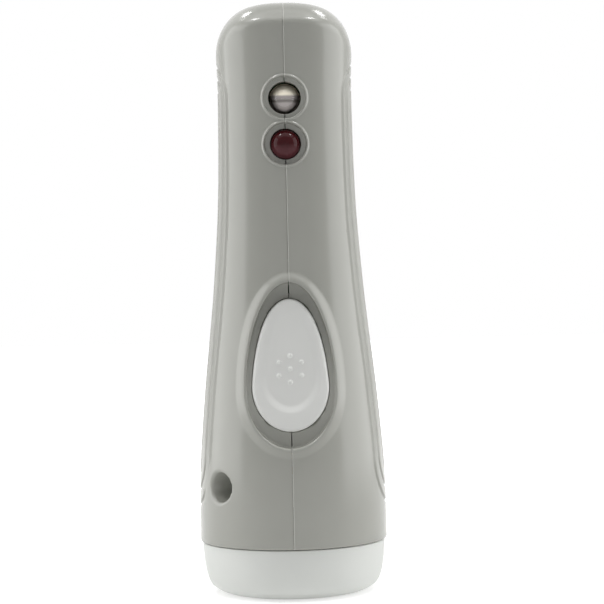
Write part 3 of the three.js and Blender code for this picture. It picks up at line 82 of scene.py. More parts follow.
# The neck that holds the head ring, and the parting of the shells.
HEAD_EDGE = 0.7
NECK_OUTER_RADIUS = 21.2
NECK_INNER_RADIUS = 19.6
NECK_END = 6.4
PARTING_HALF_GAP = 0.02
PARTING_BEVEL = 0.22
FLAT_SHARE = 0.6
PARTING_RISE = 0.11
PARTING_SINK = 0.04
PARTING_SLIT_HALF = 0.16
ON_PLANE = 0.01
SKIN_DEPTH = 0.6
SKIN_NEAR = 0.05
SLIT_DEPTH = 0.7

# Near the crown the proud edge is lower.
CALM_HEIGHT = CROWN_HEIGHT + 3
CALM_FADE = 5
CALM_SHARE = 0.2

# The grip loops on the flanks: half width at the handle and at the head, top and bottom.
GRIP_LOOPS = ((4.4, 3.9, 132.6, 31), (7.5, 8.6, 135.8, 27), (9.9, 11.6, 139, 23))
GRIP_GROOVE_HALF = 0.7
GRIP_GROOVE_DEPTH = 0.42
GRIP_FIELD_LOW = (-14, 18)
GRIP_FIELD_HIGH = (14, 144)
LOOP_STEP = 0.12

# The grooves fade out round the screw recess in front.
FADE_SHIFT = 2
FADE_GAP = 1.6
FADE_WIDTH = 3

# The thumb button and its well.
BUTTON_WIDTH = 19.7
BUTTON_LENGTH = 33.8
BUTTON_CENTRE = 60.2
SCOOP_WIDTH = 14.6
SCOOP_LENGTH = 26.6
SCOOP_CENTRE = 61.9
BUTTON_GAP = 0.1
BUTTON_HOLE_BACK = -12
WAIST = 0.035
WELL_WIDTH = 22.6
WELL_LENGTH = 42
WELL_FLOOR = -16.8
WELL_DEPTH = 2.9
WELL_DEPTH_LOW = 2.1
WELL_LOW_END = 44
WELL_BLEND = 26
WELL_FLOOR_WALL = 1.6
WELL_CORNER = 0.6
WELL_EDGE = 0.8
LIP_RISE = 0.92
LIP_CREST = 0.4
LIP_REACH = 3.0
EGG_LOWER_SHARE = 0.34
EGG_MARGIN = 4.0
EGG_STEPS = 1400

# The two lamps near the tail, the red one first, each in a round spot with a bead.
LAMP_RADIUS = 4
LAMP_HOLE = 4.2
LAMP_HOLE_BACK = -11
LAMP_HOLE_EDGE = 0.25
FAR_FRONT = -30
LAMP_HEIGHTS = (116.9, 128.8)
LAMP_TIPS = (-18.8, -16.9)
RED_SEAT_GAP = 0.1
SPOT_RADIUS = 5.35
SPOT_BEAD_RISE = 0.34
SPOT_BEAD_CREST = 0.32
SPOT_BEAD_HALF = 0.55
SPOT_FLOOR = -16.2
SPOT_EDGE = 0.5
SPOT_WALL = 3
SPOT_SIDE_WALL = 1

# The land on the back and the crank's axis.
CRANK_HEIGHT = 66
CRANK_DEPTH = 17.045
LAND_RADIUS = 46
LAND_CORNER = 1.2
LAND_EDGE = 0.9
BACK_TILT = math.atan(0.0787)
BUSH_HOLE = 4.55
BUSH_DEPTH = 5
BUSH_EDGE = 0.2

# Case screws along X, by (y, z). The recess of the front one leans outward.
SCREW_PLACES = ((-13.2, 28.7), (13.2, 24), (8.5, 144))
SCREW_RECESS = 3.8
SCREW_RECESS_LEAN = 0.27
SCREW_RECESS_RISE = 0.2
SCREW_RECESS_EDGE = 0.9
SCREW_SEAT = -10
SCREW_SEAT_WEB = 1
SCREW_BOSS = 4.9
SCREW_BOSS_STEP = 1.5
SCREW_HOLE = 1.6
SCREW_PILOT = 1.45
SCREW_PILOT_DEPTH = 7.5

# Tables and meshes.
TABLE_TOP = 170
TABLE_PITCH = 0.5
TABLE_SPREAD = 4.0
TABLE_RIM = 1.001
OUTLINE_PITCH = 0.1
FIELD_BACKGROUND = 3.0
SLOPE_STEP = 0.02
SLOPE_STEP_SHADED = 0.05
SLOPE_FLOOR = 0.2
SETTLE_ROUNDS = 2
SETTLE_REACH = 0.3
FILLET_STEPS = 5
WELD = 0.0005
CUT_NEAR = 1e-7
VOXEL = 0.5
MARGIN = 1.2
SHARP = 0.1

# Edge lengths wanted in the meshes, from uncut to finest.
UNCUT = 9.0
FINE = 0.42
FINER = 0.24
FINEST = 0.2
FRONT = -12
WELL_FRONT = -10


def read_shares(rows, share):
    return np.interp(share, [row[0] for row in rows], [row[1] for row in rows])


def smooth_table(rows):
    """Shares read at every pitch of height and blurred, so that no kink shows in a reflection."""
    heights = np.arange(0, TABLE_TOP + TABLE_PITCH, TABLE_PITCH)
    reach = 3 * TABLE_SPREAD
    offsets = np.arange(-reach, reach + TABLE_PITCH, TABLE_PITCH)
    weights = np.exp(-0.5 * (offsets / TABLE_SPREAD) ** 2)
    weights /= weights.sum()
    samples = read_shares(rows, (heights[:, None] + offsets[None, :]) / BODY_LENGTH)
    return heights, samples @ weights


WIDTH_TABLE = smooth_table(PROFILE_SHARES)
DEPTH_TABLE = smooth_table(DEPTH_SHARES)
SQUARE_TABLE = smooth_table(SQUARENESS_SHARES)


def half_width(z):
    return HEAD_RADIUS * np.interp(z, *WIDTH_TABLE)


def half_depth(z):
    return half_width(z) * np.interp(z, *DEPTH_TABLE)


def radial(a, b):
    """Distance from an axis, by the offsets across it."""
    return np.sqrt(a * a + b * b)


def smooth_max(a, b, k):
    """The larger of two distances, with the edge where they meet rounded to about k."""
    h = np.maximum(k - np.abs(a - b), 0) / k
    return np.maximum(a, b) + h * h * k / 4


def smooth_min(a, b, k):
    return -smooth_max(-a, -b, k)


class OutlineField:
    """Distance in a plane to an outline, tabulated once and read by bilinear interpolation."""

    def __init__(self, points, low, high, signed=None):
        self.low = np.asarray(low, float)
        counts = [int(math.ceil((high[i] - low[i]) / OUTLINE_PITCH)) + 1 for i in range(2)]
        u = self.low[0] + OUTLINE_PITCH * np.arange(counts[0])
        v = self.low[1] + OUTLINE_PITCH * np.arange(counts[1])
        squared = np.full(counts, np.inf)
        for pu, pv in points:
            np.minimum(squared, (u[:, None] - pu) ** 2 + (v[None, :] - pv) ** 2, out=squared)
        self.table = np.sqrt(squared)
        if signed is not None:
            self.table *= np.where(signed(u[:, None], v[None, :]), -1, 1)

    def __call__(self, u, v):
        shape = self.table.shape
        a = np.clip((u - self.low[0]) / OUTLINE_PITCH, 0, shape[0] - TABLE_RIM)
        b = np.clip((v - self.low[1]) / OUTLINE_PITCH, 0, shape[1] - TABLE_RIM)
        i = a.astype(np.int32)
        j = b.astype(np.int32)
        fa = a - i
        fb = b - j
        t = self.table
        near = t[i, j] * (1 - fb) + t[i, j + 1] * fb
        far = t[i + 1, j] * (1 - fb) + t[i + 1, j + 1] * fb
        return near * (1 - fa) + far * fa


def egg_field(width, length, centre, waist):
    """An egg with its widest place low down, whose upper flanks are drawn in by the share waist."""
    lower = length * EGG_LOWER_SHARE
    widest = centre - length / 2 + lower

    def drawn_in(t):
        return 1 - waist * 4 * np.clip(t, 0, 1) * (1 - np.clip(t, 0, 1))

    def inside(x, z):
        reach = np.where(z > widest, length - lower, lower)
        t = (z - widest) / reach
        return (x / (width / 2 * drawn_in(np.where(z > widest, t, 0)))) ** 2 + t ** 2 < 1

    angles = np.linspace(0, 2 * np.pi, EGG_STEPS, endpoint=False)
    rise = np.sin(angles)
    across = width / 2 * np.cos(angles) * drawn_in(rise)
    up = widest + np.where(rise > 0, length - lower, lower) * rise
    low = (-width / 2 - EGG_MARGIN, centre - length / 2 - EGG_MARGIN)
    high = (width / 2 + EGG_MARGIN, centre + length / 2 + EGG_MARGIN)
    return OutlineField(np.stack([across, up], axis=1), low, high, inside)


def loop_points(handle_half, head_half, top, bottom):
    """One closed grip loop as points: two arcs and the two runs between them."""
    arcs = []
    for half, middle, start in (
        (handle_half, top - handle_half, 0),
        (head_half, bottom + head_half, np.pi),
    ):
        angles = np.linspace(start, start + np.pi, int(np.pi * half / LOOP_STEP))
        arcs.append(np.stack([half * np.cos(angles), middle + half * np.sin(angles)], axis=1))
    runs = []
    for a, b in ((arcs[0][-1], arcs[1][0]), (arcs[1][-1], arcs[0][0])):
        t = np.linspace(0, 1, int(np.linalg.norm(b - a) / LOOP_STEP))[:, None]
        runs.append(a + (b - a) * t)
    return np.concatenate([arcs[0], runs[0], arcs[1], runs[1]])


WELL_EGG = egg_field(WELL_WIDTH, WELL_LENGTH, BUTTON_CENTRE, 0)
BUTTON_EGG = egg_field(BUTTON_WIDTH, BUTTON_LENGTH, BUTTON_CENTRE, WAIST)
SCOOP_EGG = egg_field(SCOOP_WIDTH, SCOOP_LENGTH, SCOOP_CENTRE, WAIST)
GRIP_LINES = OutlineField(
    np.concatenate([loop_points(*loop) for loop in GRIP_LOOPS]), GRIP_FIELD_LOW, GRIP_FIELD_HIGH)

OUTWARD = (0, math.cos(BACK_TILT), math.sin(BACK_TILT))
UPWARD = (0, -math.sin(BACK_TILT), math.cos(BACK_TILT))


def crank_coordinates(y, z):
    """Distance up the land and out of it, from the crank's axis."""
    dy = y - CRANK_DEPTH
    dz = z - CRANK_HEIGHT
    return dy * UPWARD[1] + dz * UPWARD[2], dy * OUTWARD[1] + dz * OUTWARD[2]


def bare_body(x, y, z):
    """Distance to the plain body: a tapered handle under a tail bevelled in front and soft at its sides."""
    power = 2 * np.interp(z, *SQUARE_TABLE)
    radius = radial(x, y) + TINY
    wide = np.abs(x / half_width(z)) ** power
    deep = np.abs(y / half_depth(z)) ** power
    rho = (wide + deep) ** (1 / power) + TINY
    side = radius - radius / rho
    crown_y = y - CROWN_SETBACK
    crown_radius = radial(x, crown_y) + TINY
    crown_wide = np.abs(x / CROWN_WIDE) ** CROWN_POWER
    crown_deep = np.abs(crown_y / CROWN_DEEP) ** CROWN_POWER
    spread = (crown_wide + crown_deep) ** (1 / CROWN_POWER)
    shrink = 1 - (z - CROWN_HEIGHT) * CROWN_SLOPE / CROWN_DEEP
    bevel = crown_radius * (1 - shrink / (spread + TINY)) / math.hypot(1, CROWN_SLOPE)
    side_drop = ROOF_SIDE_DROP * np.abs(x) ** ROOF_SIDE_POWER
    depth_drop = ROOF_DEPTH_DROP * (y - ROOF_PEAK) ** 2
    roof = z - ROOF_HEIGHT + side_drop + depth_drop
    crown = smooth_max(bevel, roof, ROOF_EDGE)
    back = np.maximum(y / radius, 0) ** 2
    front = np.maximum(-y / radius, 0) ** 2
    edge = TAIL_EDGE + TAIL_EDGE_BACK * back - TAIL_EDGE_CRISP * np.sqrt(front)
    return smooth_max(side, crown, edge)


def bead(e, crest, half, rise):
    """The height of a bead along an edge, by the distance outside the edge."""
    t = np.clip((e - crest) / half, -1, 1)
    return rise * (1 - t * t) ** 2


def lamp_stop(height):
    """How far forward a lamp's round hole goes: the red dome fills its own, closely."""
    return LAMP_TIPS[0] + LAMP_RADIUS if height == LAMP_HEIGHTS[0] else FAR_FRONT


def well_floor(z):
    """The y of the well's floor, which lies less deep at its lower end."""
    share = np.clip((z - WELL_LOW_END) / WELL_BLEND, 0, 1)
    depth = WELL_DEPTH_LOW + (WELL_DEPTH - WELL_DEPTH_LOW) * share
    return -np.maximum(half_depth(z) - depth, -WELL_FLOOR)


def cut(body, cutter, k):
    return smooth_max(body, -cutter, k)


def shell_field(x, y, z):
    """Distance to both shells as one body, with its grooves, well, spots, recesses and cavity."""
    base = bare_body(x, y, z)
    groove = np.clip(GRIP_LINES(y, z) / GRIP_GROOVE_HALF, 0, 1)
    lead_y, lead_z = SCREW_PLACES[0]
    lead = radial(y - lead_y + FADE_SHIFT, z - lead_z)
    clear = np.clip((lead - SCREW_RECESS - FADE_GAP) / FADE_WIDTH, 0, 1)
    clear = np.where(x < 0, clear, 1)
    outer = base + GRIP_GROOVE_DEPTH * clear * (1 - groove ** 2) ** 2
    egg = WELL_EGG(x, z)
    proud = bead(egg, LIP_CREST, LIP_REACH - LIP_CREST, LIP_RISE)
    for height in LAMP_HEIGHTS:
        rim = radial(x, z - height) - SPOT_RADIUS
        proud = np.maximum(proud, bead(rim, SPOT_BEAD_CREST, SPOT_BEAD_HALF, SPOT_BEAD_RISE))
    outer = outer - np.where(y < 0, proud, 0)
    outer = smooth_max(outer, SEAM_HEIGHT - z, HEAD_EDGE)
    axis_radius = radial(x, y)
    neck = np.maximum(NECK_END - z, z - SEAM_HEIGHT - SHELL_WALL)
    outer = np.minimum(outer, np.maximum(axis_radius - NECK_OUTER_RADIUS, neck))

    up, out = crank_coordinates(y, z)
    crank_radius = radial(x, up)
    outer = cut(outer, -smooth_min(out, LAND_RADIUS - crank_radius, LAND_CORNER), LAND_EDGE)
    outer = cut(outer, -smooth_min(-egg, -(y - well_floor(z)), WELL_CORNER), WELL_EDGE)
    outer = cut(outer, np.maximum(BUTTON_EGG(x, z) - BUTTON_GAP, y - BUTTON_HOLE_BACK), SHARP)
    outer = cut(outer, np.maximum(crank_radius - BUSH_HOLE, -out - BUSH_DEPTH), BUSH_EDGE)
    kept = [
        np.maximum(crank_radius - LAND_RADIUS - SHELL_WALL, -out - SHELL_WALL),
        np.maximum(egg - SHELL_WALL, y - WELL_FLOOR - WELL_FLOOR_WALL),
    ]
    for height in LAMP_HEIGHTS:
        lamp_radius = radial(x, z - height)
        outer = cut(outer, np.maximum(lamp_radius - SPOT_RADIUS, y - SPOT_FLOOR), SPOT_EDGE)
        ends = np.maximum(y - LAMP_HOLE_BACK, lamp_stop(height) - y)
        outer = cut(outer, np.maximum(lamp_radius - LAMP_HOLE, ends), LAMP_HOLE_EDGE)
        kept.append(np.maximum(lamp_radius - SPOT_RADIUS - SPOT_SIDE_WALL, y - SPOT_FLOOR - SPOT_WALL))
    ahead = np.minimum(y - lamp_stop(LAMP_HEIGHTS[0]), 0)
    ball = np.sqrt(x * x + (z - LAMP_HEIGHTS[0]) ** 2 + ahead ** 2)
    ball = np.maximum(ball - LAMP_RADIUS - RED_SEAT_GAP, y - LAMP_HOLE_BACK)
    outer = cut(outer, ball, LAMP_HOLE_EDGE)
    for screw_y, screw_z in SCREW_PLACES:
        screw_radius = radial(y - screw_y, z - screw_z)
        lean = SCREW_RECESS_LEAN * np.minimum(x - SCREW_SEAT, 0) * (screw_y < 0)
        leaning = radial(y - screw_y - lean, z - screw_z - SCREW_RECESS_RISE)
        outer = cut(outer, np.maximum(leaning - SCREW_RECESS, x - SCREW_SEAT), SCREW_RECESS_EDGE)
        hole = np.maximum(screw_radius - np.where(x > 0, SCREW_PILOT, SCREW_HOLE),
                          np.maximum(x - SCREW_PILOT_DEPTH, SCREW_SEAT - SCREW_SEAT_WEB - x))
        outer = cut(outer, hole, SHARP)
        boss = np.minimum(screw_radius, leaning) - SCREW_BOSS
        kept.append(boss + np.where(x > 0, SCREW_BOSS_STEP, 0))

    cavity = np.maximum(base + SHELL_WALL, SEAM_HEIGHT + SHELL_WALL - z)
    for block in kept:
        cavity = np.maximum(cavity, -block)
    bore = np.maximum(axis_radius - NECK_INNER_RADIUS, z - SEAM_HEIGHT - 2 * SHELL_WALL)
    return np.maximum(outer, -np.minimum(cavity, bore))


def field_mesh(name, field, low, high, voxel, passes):
    """A mesh of a field's zero between two corners, with edges split and settled again in each pass."""
    axes = [np.arange(low[i], high[i] + voxel, voxel) for i in range(3)]
    grid = field(axes[0][:, None, None], axes[1][None, :, None], axes[2][None, None, :])
    grid = np.ascontiguousarray(np.broadcast_to(grid, [len(a) for a in axes]), dtype=np.float32)
    volume = openvdb.FloatGrid(FIELD_BACKGROUND)
    volume.copyFromArray(grid)
    points, quads = volume.convertToQuads(isovalue=0.0)
    points = points.astype(np.float64) * voxel + np.asarray(low)
    mesh = new_mesh(name, settle(field, points), turned_outward(points, quads[:, ::-1]))
    for wanted in passes:
        refine(mesh, wanted)
        set_points(mesh, settle(field, mesh_points(mesh)))
    return mesh


def gradient_of(field, p, step=SLOPE_STEP):
    slopes = []
    for axis in range(3):
        shift = np.zeros(3)
        shift[axis] = step
        a = p + shift
        b = p - shift
        slopes.append((field(*a.T) - field(*b.T)) / (2 * step))
    return np.stack(slopes, axis=1)


def settle(field, p):
    """Moves points onto the field's zero along its slope."""
    for _ in range(SETTLE_ROUNDS):
        slope = gradient_of(field, p)
        length = np.maximum((slope ** 2).sum(axis=1), SLOPE_FLOOR)
        step = np.clip(field(*p.T) / length, -SETTLE_REACH, SETTLE_REACH)
        p = p - slope * step[:, None]
    return p


# The crank's own frame: its axis along Z, and Y up the land.
CRANK = Matrix((
    (-1, 0, 0, 0),
    (0, UPWARD[1], OUTWARD[1], CRANK_DEPTH),
    (0, UPWARD[2], OUTWARD[2], CRANK_HEIGHT),
    (0, 0, 0, 1),
))
PLAIN = Matrix.Identity(4)


def moved(points, matrix):
    m = np.array(matrix)
    return points @ m[:3, :3].T + m[:3, 3]


def turned_outward(points, faces):
    """The faces, turned over where the closed surface would be inside out."""
    volume = 0.0
    for i in range(1, faces.shape[1] - 1):
        a, b, c = points[faces[:, 0]], points[faces[:, i]], points[faces[:, i + 1]]
        volume += np.einsum("ij,ij->i", a, np.cross(b, c)).sum()
    return faces if volume > 0 else faces[:, ::-1]


def new_mesh(name, points, faces):
    """A mesh from points in millimetres."""
    mesh = bpy.data.meshes.new(name)
    faces = np.asarray(faces)
    sides = faces.shape[1]
    mesh.vertices.add(len(points))
    mesh.vertices.foreach_set("co", (np.asarray(points) * MM).ravel())
    mesh.loops.add(faces.size)
    mesh.loops.foreach_set("vertex_index", faces.ravel())
    mesh.polygons.add(len(faces))
    mesh.polygons.foreach_set("loop_start", np.arange(0, faces.size, sides))
    mesh.polygons.foreach_set("loop_total", np.full(len(faces), sides))
    mesh.update(calc_edges=True)
    mesh.validate()
    return mesh


def read_all(items, key, width=1, kind=float):
    """One attribute of all vertices, edges, faces or corners."""
    values = np.empty(len(items) * width, dtype=kind)
    items.foreach_get(key, values)
    return values.reshape(-1, width) if width > 1 else values


def mesh_points(mesh):
    return read_all(mesh.vertices, "co", 3) / MM


def set_points(mesh, points):
    mesh.vertices.foreach_set("co", (points * MM).ravel())
    mesh.update()


def shade_by_field(mesh, field, inverse=PLAIN, flat=None):
    """Shades with the field's slope, so that reflections run smoothly, and with the faces' own where flat."""
    slope = gradient_of(field, moved(mesh_points(mesh), inverse), SLOPE_STEP_SHADED)
    slope = slope @ np.array(inverse)[:3, :3]
    slope /= np.linalg.norm(slope, axis=1)[:, None] + TINY
    normals = slope[read_all(mesh.loops, "vertex_index", kind=np.int32)]
    if flat is not None:
        face_normals = read_all(mesh.polygons, "normal", 3)
        totals = read_all(mesh.polygons, "loop_total", kind=np.int32)
        chosen = np.repeat(flat(mesh), totals)
        normals[chosen] = np.repeat(face_normals, totals, axis=0)[chosen]
    mesh.polygons.foreach_set("use_smooth", np.ones(len(mesh.polygons), dtype=bool))
    mesh.normals_split_custom_set(normals.tolist())


def refine(mesh, wanted):
    """Splits edges that are longer than wanted where they lie."""
    points = mesh_points(mesh)
    ends = read_all(mesh.edges, "vertices", 2, np.int32)
    middles = points[ends].mean(axis=1)
    lengths = np.linalg.norm(points[ends[:, 0]] - points[ends[:, 1]], axis=1)
    chosen = np.nonzero(lengths > wanted(middles))[0]
    bm = bmesh.new()
    bm.from_mesh(mesh)
    bm.edges.ensure_lookup_table()
    edges = [bm.edges[i] for i in chosen]
    bmesh.ops.subdivide_edges(bm, edges=edges, cuts=1, use_grid_fill=True)
    bm.to_mesh(mesh)
    bm.free()


def link(holder):
    bpy.context.scene.collection.objects.link(holder)


def add_object(name, mesh, material):
    piece = bpy.data.objects.new(name, mesh)
    link(piece)
    mesh.materials.clear()
    mesh.materials.append(material)
    return piece


def settled_in_frame(piece, body, nodes):
    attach(piece, body)
    if nodes:
        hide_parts(*nodes)


def field_piece(name, field, low, high, voxel, matrix, material, body, nodes=(), passes=()):
    """A closed piece meshed from a field in its own frame."""
    mesh = field_mesh(name, field, low, high, voxel, passes)
    set_points(mesh, moved(mesh_points(mesh), matrix))
    shade_by_field(mesh, field, matrix.inverted())
    settled_in_frame(add_object(name, mesh, material), body, nodes)


def rounded_profile(corners):
    """A closed outline of (radius, height, rounding) with its corners rounded."""
    out = []
    count = len(corners)
    for i, (r, h, fillet) in enumerate(corners):
        here = np.array((r, h), float)
        if not fillet:
            out.append(here)
            continue
        before = np.array(corners[i - 1][:2], float) - here
        after = np.array(corners[(i + 1) % count][:2], float) - here
        before /= np.linalg.norm(before)
        after /= np.linalg.norm(after)
        for step in range(FILLET_STEPS + 1):
            t = step / FILLET_STEPS
            a, b = here + before * fillet, here + after * fillet
            out.append((1 - t) ** 2 * a + 2 * t * (1 - t) * here + t * t * b)
    return np.array(out)


def revolved_piece(name, corners, sides, matrix, material, body, nodes=(), crease=35):
    """A closed solid of revolution from the corners of its outline."""
    profile = rounded_profile(corners)
    count = len(profile)
    angles = np.linspace(0, 2 * np.pi, sides, endpoint=False)
    points = np.stack([
        profile[None, :, 0] * np.cos(angles)[:, None],
        profile[None, :, 0] * np.sin(angles)[:, None],
        np.broadcast_to(profile[None, :, 1], (sides, count)),
    ], axis=2).reshape(-1, 3)
    i = np.arange(sides)[:, None]
    j = np.arange(count)[None, :]
    k = (j + 1) % count
    n = (i + 1) % sides
    faces = np.stack([i * count + j, n * count + j, n * count + k, i * count + k], axis=2).reshape(-1, 4)
    points = moved(points, matrix)
    mesh = new_mesh(name, points, turned_outward(points, faces))
    bm = bmesh.new()
    bm.from_mesh(mesh)
    bmesh.ops.remove_doubles(bm, verts=bm.verts, dist=WELD * MM)
    bmesh.ops.recalc_face_normals(bm, faces=bm.faces)
    bm.to_mesh(mesh)
    bm.free()
    mesh.polygons.foreach_set("use_smooth", np.ones(len(mesh.polygons), dtype=bool))
    mesh.set_sharp_from_angle(angle=math.radians(crease))
    settled_in_frame(add_object(name, mesh, material), body, nodes)


# Materials. Object coordinates are metres in the shared frame.
DRIFT_ENDS = (0.3, 0.7)
BROAD_SHARE = 12
BROAD_DETAIL = 3


def fill_in(tree, node, inputs):
    """Links the sockets among the values to a node's inputs, and sets the rest."""
    for key, value in inputs.items():
        if isinstance(value, bpy.types.NodeSocket):
            tree.links.new(value, node.inputs[key])
        else:
            node.inputs[key].default_value = value


def add_node(tree, kind, inputs, **settings):
    node = tree.nodes.new("ShaderNode" + kind)
    for key, value in settings.items():
        setattr(node, key, value)
    fill_in(tree, node, inputs)
    return node


def computed(tree, operation, *terms):
    return add_node(tree, "Math", dict(enumerate(terms)), operation=operation).outputs[0]


def ranged(tree, value, source, result=(0, 1), kind="LINEAR"):
    """A value carried over from a source range to a result range, and held at its ends."""
    ends = dict(zip(("From Min", "From Max", "To Min", "To Max"), (*source, *result)))
    return add_node(tree, "MapRange", {"Value": value, **ends}, interpolation_type=kind).outputs["Result"]


def noise(tree, vector, scale, detail):
    return add_node(tree, "TexNoise", {"Vector": vector, "Scale": scale, "Detail": detail}).outputs["Fac"]


def blended(tree, first, colour, value, source):
    """A colour socket that goes softly over to a plain colour as a value crosses a range."""
    share = ranged(tree, value, source, kind="SMOOTHSTEP")
    return add_node(tree, "Mix", {0: share, 6: first, 7: colour + (1,)}, data_type="RGBA").outputs[2]


def mixed(tree, share, first, second):
    """Two shaders, mixed by a share."""
    return add_node(tree, "MixShader", {0: share, 1: first, 2: second}).outputs[0]


def new_material(name):
    material = bpy.data.materials.new(name)
    material.use_nodes = True
    return material, material.node_tree, material.node_tree.nodes["Principled BSDF"]


def surface(name, colour, roughness, metallic=0.0, grain=900, drift=0.04, rough_drift=0.05, bump=0.02,
            transmission=0.0, ior=1.5, stretch=(1, 1, 1), fine=5, specular=0.5, relief_depth=0.05,
            painted_grade=None, painted_dark_band=None, painted_seam_highlight=None):
    """A moulded or metal surface: colour and gloss drift a little with noise, over a fine relief.

    Painted light: a colour brought in from one height to another, as a painted highlight on the lead frame
    and a painted reflection on the red dome; a stripe of painted dark reflection round one height; and a
    lighter stripe of painted highlight along the middle plane, each stripe by its middle, half width and
    colour. All are in millimetres.
    """
    material, tree, shader = new_material(name)
    place = tree.nodes.new("ShaderNodeTexCoord").outputs["Object"]
    vector = add_node(tree, "Mapping", {"Vector": place, "Scale": stretch}).outputs["Vector"]
    ramp = add_node(tree, "ValToRGB", {"Fac": noise(tree, vector, grain / BROAD_SHARE, BROAD_DETAIL)})
    for end, position, share in zip(ramp.color_ramp.elements, DRIFT_ENDS, (1 - drift, 1 + drift)):
        end.position = position
        end.color = tuple(min(1, c * share) for c in colour) + (1,)
    tint = ramp.outputs["Color"]
    parts = add_node(tree, "SeparateXYZ", {"Vector": place}).outputs
    if painted_grade is not None:
        low, high, other = painted_grade
        tint = blended(tree, tint, other, parts["Z"], (low * MM, high * MM))
    for stripe, along in ((painted_dark_band, "Z"), (painted_seam_highlight, "X")):
        if stripe is not None:
            middle, half, other = stripe
            away = computed(tree, "ABSOLUTE", computed(tree, "SUBTRACT", parts[along], middle * MM))
            tint = blended(tree, tint, other, away, (half * MM, 0))
    small = noise(tree, vector, grain, fine)
    gloss = (max(0.0, roughness - rough_drift), min(1.0, roughness + rough_drift))
    fill_in(tree, shader, {
        "Base Color": tint, "Metallic": metallic, "IOR": ior, "Specular IOR Level": specular,
        "Transmission Weight": transmission, "Roughness": ranged(tree, small, (0, 1), gloss),
    })
    if bump:
        relief = add_node(tree, "Bump", {"Strength": bump, "Distance": relief_depth * MM, "Height": small})
        fill_in(tree, shader, {"Normal": relief.outputs["Normal"]})
    return material


SMOOTH = dict(fine=1, bump=0.05, relief_depth=0.004)
BODY_LOOK = dict(colour=(0.365, 0.367, 0.332), roughness=0.2, drift=0.015, rough_drift=0.015, **SMOOTH)
METAL = dict(metallic=1.0, bump=0.05)

# Painted highlight: the body's colour is lighter in a stripe 0.16 mm either side of the parting plane, where
# the seam catches light.
BODY = surface("body_plastic", painted_seam_highlight=(0.16, 0.16, (0.56, 0.56, 0.52)), **BODY_LOOK)
ARM = surface("crank_plastic", **BODY_LOOK)
WHITE = surface("white_plastic", (0.735, 0.75, 0.72), 0.5, drift=0.012, rough_drift=0.02, specular=0.15,
                **SMOOTH)
BUTTON = surface("button_plastic", (0.785, 0.79, 0.765), 0.34, grain=1400, drift=0.012, rough_drift=0.03,
                 bump=0.1, fine=2, relief_depth=0.01)
CLEAR = surface("lens_clear", (0.9, 0.93, 0.94), 0.03, transmission=1.0, drift=0.01, rough_drift=0.01,
                bump=0, ior=1.49)
DOME_CLEAR = surface("clear_epoxy", (0.86, 0.84, 0.8), 0.03, transmission=1.0, drift=0.02,
                     rough_drift=0.01, bump=0, ior=1.52)
# Painted reflection: the red dome turns paler below its middle, standing in for the floor's reflection in its
# lower half.
DOME_RED = surface("red_epoxy", (0.05, 0.003, 0.005), 0.07, drift=0.12, rough_drift=0.02, bump=0,
                   ior=1.54, specular=0.11, painted_grade=(117.0, 115.2, (0.1, 0.03, 0.035)))
CHROME = surface("reflector_chrome", (0.82, 0.83, 0.85), 0.08, metallic=1.0, drift=0.02, rough_drift=0.03,
                 bump=0)
RUBBER = surface("seal_rubber", (0.02, 0.02, 0.02), 0.8, drift=0.2, bump=0.2)
GREEN = surface("board_green", (0.03, 0.14, 0.05), 0.45, drift=0.15, bump=0.1)
BLACK = surface("black_plastic", (0.02, 0.02, 0.02), 0.45, drift=0.15, bump=0.1)
ACETAL_WHITE = surface("gear_white", (0.8, 0.78, 0.7), 0.4, drift=0.03, bump=0.05)
ACETAL_GREY = surface("gear_grey", (0.6, 0.66, 0.72), 0.4, drift=0.03, bump=0.05)
STEEL = surface("steel", (0.56, 0.57, 0.58), 0.3, drift=0.06, stretch=(1, 1, 0.1), **METAL)
# Painted light on the lead frame: cream over its top as a painted highlight, and a dark band across its
# middle as a painted dark reflection.
FRAME = surface("lead_frame", (0.3, 0.28, 0.285), 0.3, grain=2500, drift=0.15, **METAL,
                painted_grade=(129.25, 129.7, (1, 0.95, 0.82)), painted_dark_band=(128.6, 0.45, (0.11, 0.1, 0.095)))
LAMP_BASE = surface("lamp_base", (0.36, 0.32, 0.27), 0.4, drift=0.2, bump=0.1)
SCREW = surface("screw_steel", (0.42, 0.42, 0.41), 0.35, metallic=1.0, drift=0.1, bump=0.1)
BRASS = surface("brass", (0.6, 0.44, 0.18), 0.28, drift=0.08, **METAL)
NICKEL = surface("cell_nickel", (0.55, 0.56, 0.57), 0.2, metallic=1.0, drift=0.05, bump=0.03)
FERRITE = surface("magnet_ferrite", (0.07, 0.07, 0.08), 0.6, drift=0.2, bump=0.2)
COPPER = surface("copper_wire", (0.52, 0.18, 0.05), 0.3, metallic=1.0, drift=0.15, bump=0.3,
                 stretch=(1, 1, 4))
KNOB_GREY = surface("knob_plastic", (0.27, 0.27, 0.25), 0.32, grain=1500, drift=0.03, bump=0.05)
SLEEVE = surface("capacitor_sleeve", (0.01, 0.02, 0.08), 0.35, drift=0.15, bump=0.05)

